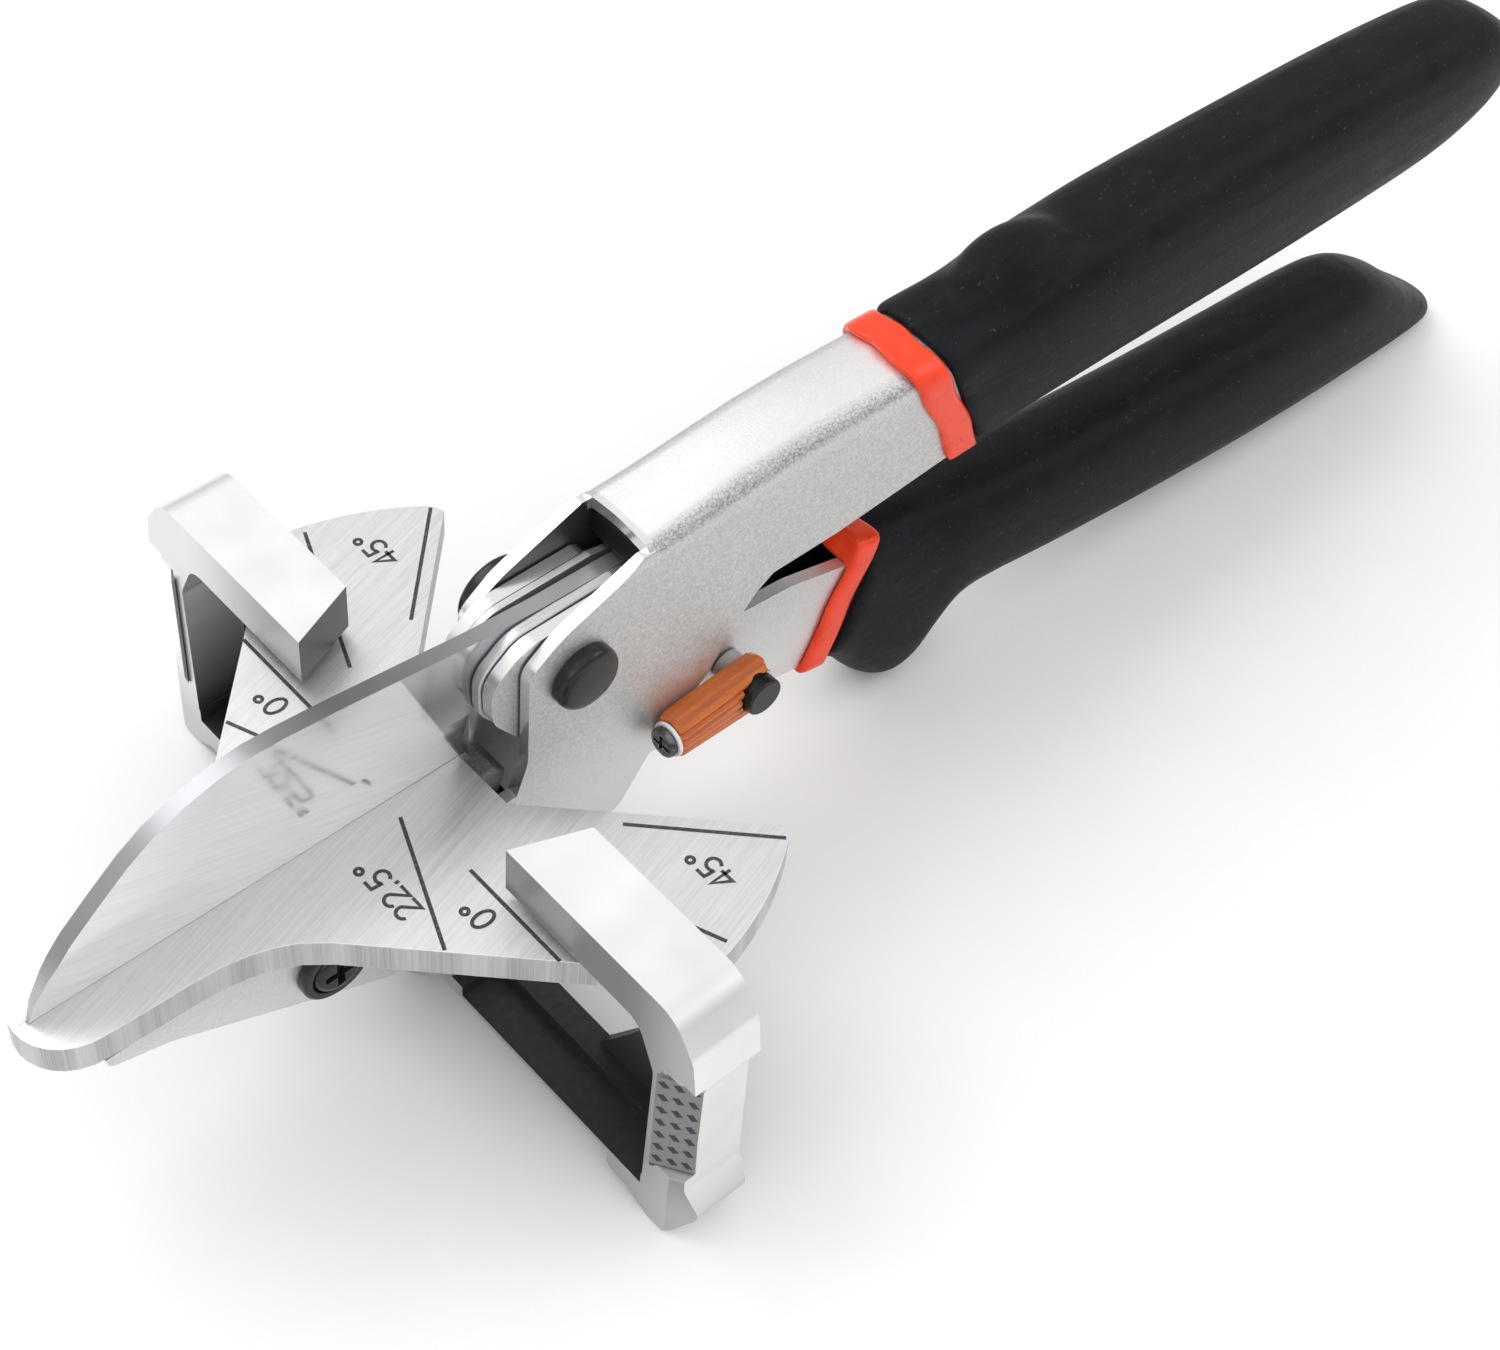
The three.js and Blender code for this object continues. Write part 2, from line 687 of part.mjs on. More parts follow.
function clampScrew() {
  const at = [CLAMP_SCREW[0], 0, CLAMP_SCREW[1]];
  const seat = FRAME_HALF + GAP;
  const head = turned(domed(3.9, seat, seat + 2.2, 1.1), 'y', at, 36);
  const body = join(head, rod(2.5, -10.6, seat + 1, 'y', at, 24));
  return cut(body, phillips('y', at, seat + 2.2, 4.8, 1.2));
}

function clampNut() {
  const seat = -FRAME_HALF - GAP;
  const nut = turned([[0, seat - 2.6], [4.6, seat - 2.6], [4.6, seat], [0, seat]], 'y',
    [CLAMP_SCREW[0], 0, CLAMP_SCREW[1]], 6);
  return cut(nut, rod(2.5 + RUN, -20, 0, 'y', [CLAMP_SCREW[0], 0, CLAMP_SCREW[1]]));
}

// ---- swivelling fence ---------------------------------------------------------------------
function fenceHalf() {
  return rounded([
    [20.0, FENCE_TOP],
    [20.0, FENCE_UNDER],
    [48.2, FENCE_UNDER, 3.5],
    [51.6, -6.0, 4],
    [51.2, BAR_TOP, 0.8],
    [8.0, BAR_TOP],
    [8.0, BAR_LOW],
    [44.4, BAR_LOW, 0.6],
    [44.0, -39.2, 1.2],
    [48.8, -39.4, 3],
    [52.6, GROUND_Z, 3],
    [56.4, GROUND_Z, 3],
    [60.4, -35.0, 3],
    [58.2, -29.0, 4],
    [57.6, -6.0, 1.5],
    [59.4, -2.6, 2],
    [58.4, 4.0, 4],
    [54.4, FENCE_TOP, 5],
  ]);
}

function gusset() {
  return rounded([
    [31.4, BAR_TOP - 0.5],
    [52.4, BAR_TOP - 0.5],
    [52.4, 0.8],
    [50.2, 0.4],
    [50.0, -6.0],
    [46.0, -9.0, 3],
    [37.4, -24.0, 8],
  ]);
}

// mirrored outlines are read the other way round
function order(side) {
  return side > 0 ? 'slice' : 'reverse';
}

function fenceBracket() {
  const depth = FENCE_X1 - FENCE_X0;
  const half = fenceHalf();
  const right = slabYZ(half.slice().reverse(), FENCE_X0, FENCE_X1, 0);
  const left = slabYZ(mirrored(half.slice().reverse(), 0), FENCE_X0, FENCE_X1, 0);
  const bar = box([FENCE_X0, -9, BAR_LOW], [FENCE_X1, 9, BAR_TOP]);
  const wallR = slabYZ(gusset(), FENCE_X0, FENCE_X0 + 1.8);
  const wallL = slabYZ(mirrored(gusset(), 0), FENCE_X0, FENCE_X0 + 1.8);
  const hub = turned(
    [[0, BAR_LOW], [HUB_R - 2.2, BAR_LOW], [HUB_R, BAR_TOP], [HUB_R, SADDLE_Z - SIDE - 1.2],
      [HUB_R - 1.2, SADDLE_Z - SIDE], [0, SADDLE_Z - SIDE]],
    'z',
    [0, 0, 0],
    48,
  );
  const slant = (s) => slabXY(
    [
      [FENCE_X1 + 1, s * 10],
      [FENCE_X1 + 1, s * (FENCE_END_FRONT - 0.4)],
      [FENCE_X1, s * FENCE_END_FRONT],
      [FENCE_X0, s * FENCE_END_REAR],
      [FENCE_X0 - 1, s * (FENCE_END_REAR + 0.4)],
      [FENCE_X0 - 1, s * 10],
    ][order(s)](),
    FENCE_UNDER - 1,
    FENCE_TOP + 1,
  );
  // the grip patch is a broad chamfer on each leg's front outer corner, over a narrow one
  const patch = (s) => slabXY(
    [[FENCE_X1 + 0.9, s * 52.0], [FENCE_X1 + 4, s * 62], [1.4, s * 62], [1.4, s * 60.6]][order(s)](),
    -26.5,
    -3.0,
  );
  const corner = (s) => slabXY(
    [[FENCE_X1 + 0.8, s * 54.9], [FENCE_X1 + 4, s * 66], [-0.2, s * 66], [2.2, s * 62.8]][order(s)](),
    GROUND_Z - 1,
    -2.0,
  );
  const floor = (s) => box(
    [-0.6, Math.min(s * 12.6, s * 51.0), BAR_LOW + BAR_SKIN],
    [FENCE_X1 + 1, Math.max(s * 12.6, s * 51.0), BAR_TOP + 0.6],
  );
  return cut(
    join(right, left, bar, wallR, wallL, hub),
    slant(1),
    slant(-1),
    patch(1),
    patch(-1),
    corner(1),
    corner(-1),
    floor(1),
    floor(-1),
    rod(FENCE_BOLT_R + RUN, BAR_LOW - depth, SADDLE_Z + depth, 'z', [0, 0, 0]),
    rod(DETENT_R + RUN, BAR_LOW - 2, SADDLE_Z - 1.6, 'z', [...DETENT, 0]),
  );
}

function fenceBolt() {
  const top = SADDLE_Z + SHEET + GAP;
  const head = turned([[0, top], [5.0, top], [5.0, top + 3.4], [0, top + 3.4]], 'z', [0, 0, 0], 6);
  return join(head, rod(FENCE_BOLT_R, -40.9, top + 1, 'z', [0, 0, 0]));
}

function fenceWasher() {
  const disc = turned(
    [[0, BAR_LOW - 1.0], [5.9, BAR_LOW - 1.0], [5.9, BAR_LOW - GAP], [0, BAR_LOW - GAP]],
    'z',
    [0, 0, 0],
    36,
  );
  return cut(disc, rod(FENCE_BOLT_R + RUN, -60, 0, 'z', [0, 0, 0]));
}

function fenceNut() {
  const top = BAR_LOW - 1.0 - GAP;
  const nut = turned([[0, top - 3.2], [5.6, top - 3.2], [5.6, top], [0, top]], 'z', [0, 0, 0], 6);
  return cut(nut, rod(FENCE_BOLT_R + RUN, -60, 0, 'z', [0, 0, 0]));
}

function detentPlunger() {
  const seat = BAR_LOW - GAP;
  const head = turned(domed(3.5, seat, seat - 1.6, 0.5), 'z', [...DETENT, 0], 28);
  return join(head, rod(DETENT_R, seat - 1, SADDLE_Z - 1.8, 'z', [...DETENT, 0]));
}

// ---- latch --------------------------------------------------------------------------------
// section of the lever at one end: ribbed outer face, flat inner face; t is 0 at the pin, 1 at the tip
function latchRing(x, t) {
  const lerp = (a, b) => a + (b - a) * t;
  const low = lerp(-13.6, -12.6);
  const high = lerp(-4.5, -5.5);
  const outer = lerp(12.9, 13.3);
  const points = [
    [LATCH_Y0, lerp(-5.3, -6.7)],
    [LATCH_Y0, lerp(-12.2, -11.4)],
    [8.8, low],
    [outer - 1.2, low],
  ];
  const ribs = 6;
  const pitch = (high - low - 0.8) / ribs;
  for (let i = 0; i < ribs; i += 1) {
    const z = low + 0.3 + i * pitch;
    const bulge = 0.9 * (2 * ((i + 0.5) / ribs) - 1) ** 2;
    points.push([outer - bulge - LATCH_GROOVE, z], [outer - bulge, z + pitch * 0.3]);
    points.push([outer - bulge, z + pitch * 0.75]);
  }
  points.push([outer - 2.6, high], [LATCH_Y0 + 1.2, lerp(-4.7, -5.9)]);
  return points.map(([y, z]) => [x, y, z]);
}

function latchLever() {
  const pin = [LATCH_PIN[0], 0, LATCH_PIN[1]];
  const span = LATCH_END_X - LATCH_PIN[0];
  const body = skin([-0.17, -0.1, 0.5, 0.94, 1].map((t) => {
    const ring = latchRing(LATCH_PIN[0] + span * t, Math.max(t, 0));
    const shrink = t === 1 || t < -0.15 ? 0.88 : 1;
    return ring.map(([x, y, z]) => [
      x,
      Math.max(LATCH_Y0, LATCH_TIP_Y + (y - LATCH_TIP_Y) * shrink),
      LATCH_TIP_Z + (z - LATCH_TIP_Z) * shrink,
    ]);
  }));
  const boss = rod(2.5, LOWER_HALF + SIDE, LATCH_STEP - 1, 'y', pin);
  const seat = join(
    rod(LATCH_HEAD_R + 0.3, LATCH_STEP, 20, 'y', pin, 32),
    box([-60, LATCH_STEP, -20], [LATCH_PIN[0] - 0.5, 20, LATCH_PIN[1] + 1]),
  );
  const bore = rod(LATCH_PIN_R + RUN, -20, 20, 'y', pin);
  const tap = rod(1.5 + RUN, -42, -30, 'x', [0, LATCH_TIP_Y, LATCH_TIP_Z]);
  return cut(join(body, boss), seat, bore, tap);
}

function latchScrew() {
  const at = [0, LATCH_TIP_Y, LATCH_TIP_Z];
  const face = LATCH_END_X + 2.0;
  const head = turned(domed(2.4, LATCH_END_X + 0.8, face, 0.6), 'x', at, 32);
  const body = join(head, rod(1.5, -41.5, LATCH_END_X + 1.2, 'x', at, 20));
  return cut(body, phillips('x', at, face, 3.4, 0.8));
}

function latchWasher() {
  const at = [0, LATCH_TIP_Y, LATCH_TIP_Z];
  const disc = rod(2.8, LATCH_END_X + GAP, LATCH_END_X + 0.7, 'x', at, 32);
  return cut(disc, rod(1.5 + RUN, -40, 0, 'x', at));
}

function latchPin() {
  const at = [LATCH_PIN[0], 0, LATCH_PIN[1]];
  const seat = LATCH_STEP + SIDE;
  const head = turned(domed(LATCH_HEAD_R, seat, seat + LATCH_HEAD_T, 0.4), 'y', at, 36);
  return join(head, rod(LATCH_PIN_R, -LOWER_HALF - 0.6, seat + 1, 'y', at, 24));
}

// ---- assembly -----------------------------------------------------------------------------
const METALS = new Set(['bright', 'satin', 'cast', 'blade']);

const PARTS = [
  ['frame_channel', frameChannel, 'satin'],
  ['bumper_block', bumperBlock, 'grip'],
  ['upper_grip', upperGrip, 'grip'],
  ['upper_band', upperBand, 'band'],
  ['angle_plate', anglePlate, 'bright'],
  ['plate_block', plateBlock, 'cast'],
  ['clamp_screw', clampScrew, 'bright'],
  ['clamp_washer', clampWasher, 'dark'],
  ['clamp_nut', clampNut, 'bright'],
  ['pivot_bolt', pivotBolt, 'dark'],
  ['pivot_nut', pivotNut, 'dark'],
  ['fence_bolt', fenceBolt, 'dark'],
  ['lower_channel', lowerChannel, 'satin'],
  ['lower_grip', lowerGrip, 'grip'],
  ['lower_band', lowerBand, 'band'],
  ['blade', blade, 'blade'],
  ['blade_clamp_right', () => clampPlate(1), 'bright'],
  ['blade_clamp_left', () => clampPlate(-1), 'bright'],
  ['cross_pin', crossPin, 'dark'],
  ['latch_pin', latchPin, 'dark'],
  ['latch_lever', latchLever, 'latch'],
  ['latch_screw', latchScrew, 'bright'],
  ['latch_washer', latchWasher, 'bright'],
  ['fence_bracket', fenceBracket, 'bright'],
  ['fence_washer', fenceWasher, 'dark'],
  ['fence_nut', fenceNut, 'dark'],
  ['detent_plunger', detentPlunger, 'dark'],
];

function meshOf([name, make, finish]) {
  const material = new THREE.MeshStandardMaterial({
    color: COLOURS[finish],
    metalness: METALS.has(finish) ? 0.9 : 0.1,
    roughness: 0.45,
  });
  const geometry = geometryOf(make()).translate(-(NOSE_X + TAIL_X) / 2, 0, -GROUND_Z);
  const mesh = new THREE.Mesh(geometry, material);
  mesh.name = name;
  return mesh;
}

const shears = new THREE.Group();
shears.name = 'miter_shears';
PARTS.forEach((part) => shears.add(meshOf(part)));

export default shears;
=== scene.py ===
"""Looks for the multi-angle miter shears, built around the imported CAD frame. Metres, +Z up."""
import json
import math

import bmesh
import bpy
from mathutils import Euler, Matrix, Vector

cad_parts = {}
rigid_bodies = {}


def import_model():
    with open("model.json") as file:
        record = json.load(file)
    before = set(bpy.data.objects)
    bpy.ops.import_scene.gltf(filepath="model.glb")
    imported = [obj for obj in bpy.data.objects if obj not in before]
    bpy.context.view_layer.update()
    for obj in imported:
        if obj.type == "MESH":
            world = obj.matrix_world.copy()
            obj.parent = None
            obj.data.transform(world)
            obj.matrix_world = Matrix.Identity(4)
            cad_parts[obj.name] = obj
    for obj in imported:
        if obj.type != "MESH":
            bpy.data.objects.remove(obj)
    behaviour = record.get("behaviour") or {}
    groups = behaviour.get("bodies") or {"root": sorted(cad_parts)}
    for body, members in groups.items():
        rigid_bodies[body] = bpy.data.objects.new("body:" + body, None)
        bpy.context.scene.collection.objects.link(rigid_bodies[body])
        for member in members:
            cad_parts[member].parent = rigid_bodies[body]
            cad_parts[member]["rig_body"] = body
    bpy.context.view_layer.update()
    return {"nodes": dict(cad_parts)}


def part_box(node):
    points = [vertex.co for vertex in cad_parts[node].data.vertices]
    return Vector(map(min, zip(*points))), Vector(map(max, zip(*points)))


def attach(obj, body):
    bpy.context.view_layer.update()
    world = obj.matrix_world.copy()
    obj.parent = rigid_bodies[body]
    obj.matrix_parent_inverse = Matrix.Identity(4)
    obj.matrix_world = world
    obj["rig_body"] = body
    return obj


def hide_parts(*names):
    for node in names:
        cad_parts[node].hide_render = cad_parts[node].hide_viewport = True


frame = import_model()
NODES = frame["nodes"]
MM = 0.001

# the fence's swivel axis at the plate's top face: dimensions below are taken from there, in mm
bolt_low, bolt_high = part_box("fence_bolt")
plate_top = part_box("angle_plate")[1].z
AXIS = Vector(((bolt_low.x + bolt_high.x) / 2, 0.0, plate_top))

# the bands' front and rear faces lean forwards: their run along X for each unit of height
BAND_LEAN = 0.47
REARWARD = Vector((-1.0, 0.0, BAND_LEAN)).normalized()


def place(x, y, z):
    """A point in metres, from mm along the tool's axes and counted from AXIS."""
    return AXIS + Vector((x, y, z)) * MM


# ---- node materials ----------------------------------------------------------------------
USUAL_RANGE = (0.3, 0.7)  # where nearly all of a noise pattern's values lie


class Look:
    """A principled material with a few shorthand ways to lay detail over it."""

    def __init__(self, name, base, metallic=0.0, roughness=0.5):
        self.mat = bpy.data.materials.new(name)
        self.mat.use_nodes = True
        self.tree = self.mat.node_tree
        self.bsdf = self.tree.nodes["Principled BSDF"]
        self.bsdf.inputs["Base Color"].default_value = (*base, 1)
        self.bsdf.inputs["Metallic"].default_value = metallic
        self.bsdf.inputs["Roughness"].default_value = roughness
        coords = self.node("ShaderNodeTexCoord")
        self.places = coords.outputs["Object"]
        self.facings = coords.outputs["Normal"]
        self.bumped = None

    def node(self, kind, **settings):
        node = self.tree.nodes.new(kind)
        for key, value in settings.items():
            setattr(node, key, value)
        return node

    def feed(self, socket, value):
        if isinstance(value, bpy.types.NodeSocket):
            self.tree.links.new(value, socket)
        else:
            socket.default_value = value

    def stretched(self, scale, turn=(0, 0, 0)):
        """Places to draw a pattern on: turned by degrees, then scaled along the turned axes."""
        spin = self.node("ShaderNodeMapping")
        spin.inputs["Rotation"].default_value = [math.radians(v) for v in turn]
        self.feed(spin.inputs["Vector"], self.places)
        grow = self.node("ShaderNodeMapping")
        grow.inputs["Scale"].default_value = scale
        self.feed(grow.inputs["Vector"], spin.outputs["Vector"])
        return grow.outputs["Vector"]

    def noise(self, per_mm, vector=None, detail=3.0, rough=0.55, distort=0.0):
        node = self.node("ShaderNodeTexNoise")
        self.feed(node.inputs["Vector"], vector or self.places)
        node.inputs["Scale"].default_value = per_mm / MM
        node.inputs["Detail"].default_value = detail
        node.inputs["Roughness"].default_value = rough
        node.inputs["Distortion"].default_value = distort
        return node.outputs["Fac"]

    def remap(self, value, low, high, to_low=0.0, to_high=1.0):
        """Runs from to_low to to_high while a value goes from low to high, and stays there."""
        node = self.node("ShaderNodeMapRange")
        self.feed(node.inputs["Value"], value)
        for key, v in zip(("From Min", "From Max", "To Min", "To Max"), (low, high, to_low, to_high)):
            node.inputs[key].default_value = v
        return node.outputs["Result"]

    def spread(self, pattern, to_low, to_high):
        """A pattern's usual range, stretched over another range."""
        return self.remap(pattern, *USUAL_RANGE, to_low, to_high)

    def tones(self, pattern, dark, light, low=USUAL_RANGE[0], high=USUAL_RANGE[1]):
        """Runs from a dark colour to a light one along a pattern."""
        return self.blend(self.remap(pattern, low, high), dark, light)

    def times(self, a, b):
        return self.math("MULTIPLY", a, b)

    def math(self, kind, a, b=0.0):
        node = self.node("ShaderNodeMath", operation=kind)
        self.feed(node.inputs[0], a)
        self.feed(node.inputs[1], b)
        return node.outputs[0]

    def blend(self, fac, a, b):
        node = self.node("ShaderNodeMix", data_type="RGBA")
        self.feed(node.inputs["Factor"], fac)
        self.feed(node.inputs["A"], a if isinstance(a, bpy.types.NodeSocket) else (*a, 1))
        self.feed(node.inputs["B"], b if isinstance(b, bpy.types.NodeSocket) else (*b, 1))
        return node.outputs["Result"]

    def mixed(self, fac, a, b):
        node = self.node("ShaderNodeMix", data_type="FLOAT")
        self.feed(node.inputs["Factor"], fac)
        self.feed(node.inputs["A"], a)
        self.feed(node.inputs["B"], b)
        return node.outputs["Result"]

    def ramp(self, value, stops):
        """Greys at places from 0 to 1 along a value."""
        node = self.node("ShaderNodeValToRGB")
        self.feed(node.inputs["Fac"], value)
        bar = node.color_ramp
        bar.interpolation = "EASE"
        middle, bluish = 0.5, 1.03
        while len(bar.elements) < len(stops):
            bar.elements.new(middle)
        for element, (at, grey) in zip(bar.elements, stops):
            element.position = at
            element.color = (grey, grey, grey * bluish, 1)
        return node.outputs["Color"]

    def part(self, vector, axis):
        node = self.node("ShaderNodeSeparateXYZ")
        self.feed(node.inputs["Vector"], vector)
        return node.outputs[axis]

    def along(self, axis):
        return self.part(self.places, axis)

    def facing(self, axis):
        return self.part(self.facings, axis)

    def between(self, axis, start, end, to_low=0.0, to_high=1.0):
        """Runs from to_low to to_high between two places along an axis, in mm from AXIS."""
        zero = AXIS["XYZ".index(axis)]
        return self.remap(self.along(axis), zero + start * MM, zero + end * MM, to_low, to_high)

    def colour(self, value):
        self.feed(self.bsdf.inputs["Base Color"], value)

    def gloss(self, value):
        self.feed(self.bsdf.inputs["Roughness"], value)

    def relief(self, height, depth_mm, strength=1.0):
        node = self.node("ShaderNodeBump")
        node.inputs["Strength"].default_value = strength
        node.inputs["Distance"].default_value = depth_mm * MM
        self.feed(node.inputs["Height"], height)
        if self.bumped is not None:
            self.feed(node.inputs["Normal"], self.bumped)
        self.bumped = node.outputs["Normal"]
        self.feed(self.bsdf.inputs["Normal"], self.bumped)

    def option(self, key, value):
        self.bsdf.inputs[key].default_value = value


def edge_wear(look, radius_mm):
    """1 on sharp edges and 0 on open faces."""
    bevel = look.node("ShaderNodeBevel", samples=4)
    bevel.inputs["Radius"].default_value = radius_mm * MM
    dot = look.node("ShaderNodeVectorMath", operation="DOT_PRODUCT")
    look.feed(dot.inputs[0], bevel.outputs["Normal"])
    look.feed(dot.inputs[1], look.node("ShaderNodeNewGeometry").outputs["Normal"])
    open_face, sharp_edge = 0.995, 0.86
    return look.remap(dot.outputs["Value"], open_face, sharp_edge)


def satin_steel():
    look = Look("satin_steel", (0.6, 0.6, 0.61), metallic=0.9, roughness=0.4)
    speck = look.noise(2.6, detail=4, rough=0.75)
    painted_glint = look.remap(look.noise(4.2, detail=2, rough=0.6), 0.60, 0.72)
    cloud = look.noise(0.12, detail=2)
    tone = look.tones(speck, (0.45, 0.45, 0.445), (0.71, 0.71, 0.70), 0.34, 0.66)
    tone = look.blend(look.remap(cloud, 0.35, 0.7, 0.0, 0.25), tone, (0.54, 0.54, 0.535))
    upward = look.facing("Z")
    # painted light: faces turned up are painted brighter
    up = look.remap(upward, 0.80, 0.97)
    tone = look.blend(look.times(up, 0.75), tone, (0.90, 0.90, 0.90))
    # the rounded edges along the top are painted a darker grey, a painted shade that is stronger on the
    # +Y side
    painted_edge_shade = look.times(look.remap(upward, 0.25, 0.55), look.remap(upward, 0.97, 0.80))
    grey = look.tones(speck, (0.24, 0.24, 0.245), (0.62, 0.62, 0.62), 0.40, 0.60)
    edge_shade_by_side = look.remap(look.facing("Y"), -0.2, 0.3, 0.15, 0.8)
    tone = look.blend(look.times(painted_edge_shade, edge_shade_by_side), tone, grey)
    # painted light: the cheeks are painted brighter downwards
    painted_light_below = look.between("Z", 2, -16, 0.0, 0.75)
    tone = look.blend(painted_light_below, tone, (0.86, 0.86, 0.86))
    # painted highlight: random white specks blended into the colour
    tone = look.blend(look.times(painted_glint, 0.5), tone, (0.95, 0.95, 0.95))
    # the cut edges of the sheets are polished; the inward faces are painted dark, as painted shade
    # inside the channel
    sideways = look.facing("Y")
    cut = look.remap(look.math("ABSOLUTE", sideways), 0.55, 0.25)
    ahead = look.between("X", -31.4, -30.8)
    below = look.remap(look.facing("Z"), -0.3, -0.6)
    bare = look.times(cut, look.math("MAXIMUM", ahead, below))
    bare = look.math("MAXIMUM", bare, look.times(edge_wear(look, 0.35), 0.55))
    outward = look.times(look.math("SIGN", look.along("Y")), sideways)
    inner = look.remap(outward, -0.4, -0.8)
    tone = look.blend(inner, tone, (0.16, 0.16, 0.165))
    look.colour(look.blend(bare, tone, (0.78, 0.78, 0.785)))
    look.gloss(look.mixed(bare, look.spread(speck, 0.36, 0.52), 0.22))
    look.relief(look.mixed(bare, speck, 0.5), 0.05, 0.8)
    look.relief(look.noise(0.06, detail=1), 0.12, 0.35)
    return look.mat


def plate_steel():
    look = Look("plate_steel", (0.8, 0.8, 0.81), metallic=0.88, roughness=0.33)
    slant = (0, 0, -16)
    grain = look.noise(1.0, look.stretched((0.10, 3.6, 1.0), slant), detail=5, rough=0.7)
    scratch = look.noise(1.0, look.stretched((0.03, 1.1, 1.0), slant), detail=2, rough=0.5)
    brushed = look.noise(1.0, look.stretched((4.5, 4.5, 0.04)), detail=3, rough=0.6)
    band = look.noise(1.0, look.stretched((0.25, 0.25, 0.01)), detail=2)
    up = look.remap(look.math("ABSOLUTE", look.facing("Z")), 0.5, 0.7)
    edge_tone = look.tones(brushed, (0.34, 0.34, 0.345), (0.50, 0.495, 0.49), 0.36, 0.64)
    edge_tone = look.blend(look.remap(band, 0.42, 0.66, 0.0, 0.55), edge_tone, (0.66, 0.66, 0.66))
    top_tone = look.tones(grain, (0.61, 0.61, 0.615), (0.755, 0.755, 0.755), 0.32, 0.68)
    top_tone = look.blend(look.remap(scratch, 0.55, 0.75, 0, 0.35), top_tone, (0.58, 0.58, 0.585))
    tone = look.blend(up, edge_tone, top_tone)
    wear = edge_wear(look, 0.25)
    look.colour(look.blend(look.times(wear, 0.7), tone, (0.92, 0.92, 0.92)))
    look.gloss(look.mixed(up, look.spread(brushed, 0.34, 0.46), look.spread(grain, 0.30, 0.44)))
    look.relief(look.mixed(up, brushed, grain), 0.012, 0.4)
    return look.mat


def blade_steel():
    look = Look("blade_steel", (0.74, 0.75, 0.77), metallic=0.78, roughness=0.12)
    grind = look.noise(1.0, look.stretched((0.06, 2.6, 2.6), (0, 18, 0)), detail=4, rough=0.6)
    cloud = look.noise(0.08, detail=2)
    side = look.remap(look.math("ABSOLUTE", look.facing("Y")), 0.5, 0.8)
    tang = look.between("X", -6, -9)
    face = look.tones(grind, (0.80, 0.805, 0.81), (0.92, 0.925, 0.93))
    # painted reflection: the faces are painted darker towards the rear
    face = look.blend(look.between("X", 16, -2, 0.0, 0.45), face, (0.50, 0.51, 0.53))
    # next to the clamps, behind a border that leans forwards, the faces carry a painted reflection in
    # grey bands by height
    lean, border_foot, border_width = 0.415, -3.6 * MM, 0.4 * MM
    upright = look.math("SUBTRACT", look.along("X"), look.times(look.along("Z"), lean))
    border = AXIS.x - lean * AXIS.z + border_foot
    painted_reflection_zone = look.remap(upright, border + border_width / 2, border - border_width / 2)
    reflection_greys_by_height = ((0.0, 0.26), (0.35, 0.36), (0.60, 0.24), (1.0, 0.50))
    face = look.blend(painted_reflection_zone, face, look.ramp(look.between("Z", 0, 24), reflection_greys_by_height))
    # the narrow back carries a painted reflection that changes along its curve
    reflection_greys_forward = (
        (0.0, 0.42), (0.12, 0.36), (0.50, 0.12), (0.70, 0.36), (0.80, 0.34), (0.92, 0.34), (1.0, 0.50)
    )
    spine_reflection = look.ramp(look.between("X", -30, 64), reflection_greys_forward)
    spine_reflection = look.blend(look.spread(cloud, 0.0, 0.2), spine_reflection, (0.40, 0.41, 0.44))
    look.colour(look.blend(side, spine_reflection, look.blend(tang, face, (0.46, 0.47, 0.49))))
    look.gloss(look.mixed(side, 0.30, look.mixed(tang, look.spread(grind, 0.10, 0.17), 0.3)))
    look.relief(grind, 0.0015, 0.25)
    return look.mat


def bright_steel():
    look = Look("bright_steel", (0.6, 0.6, 0.61), metallic=0.95, roughness=0.3)
    brush = look.noise(1.0, look.stretched((0.2, 3.0, 3.0)), detail=3)
    tone = look.tones(brush, (0.52, 0.52, 0.525), (0.66, 0.66, 0.66))
    edge = look.times(edge_wear(look, 0.2), 0.6)
    look.colour(look.blend(edge, tone, (0.80, 0.80, 0.80)))
    look.gloss(look.spread(brush, 0.42, 0.55))
    look.relief(brush, 0.006, 0.4)
    return look.mat


def worn_zinc():
    look = Look("worn_zinc", (0.2, 0.2, 0.2), metallic=0.9, roughness=0.35)
    smear = look.noise(1.2, detail=3)
    tone = look.tones(smear, (0.07, 0.07, 0.072), (0.20, 0.20, 0.205), 0.40, 0.60)
    look.colour(look.blend(look.times(edge_wear(look, 0.15), 0.8), tone, (0.75, 0.75, 0.76)))
    look.gloss(look.spread(smear, 0.28, 0.42))
    look.relief(smear, 0.02, 0.4)
    return look.mat


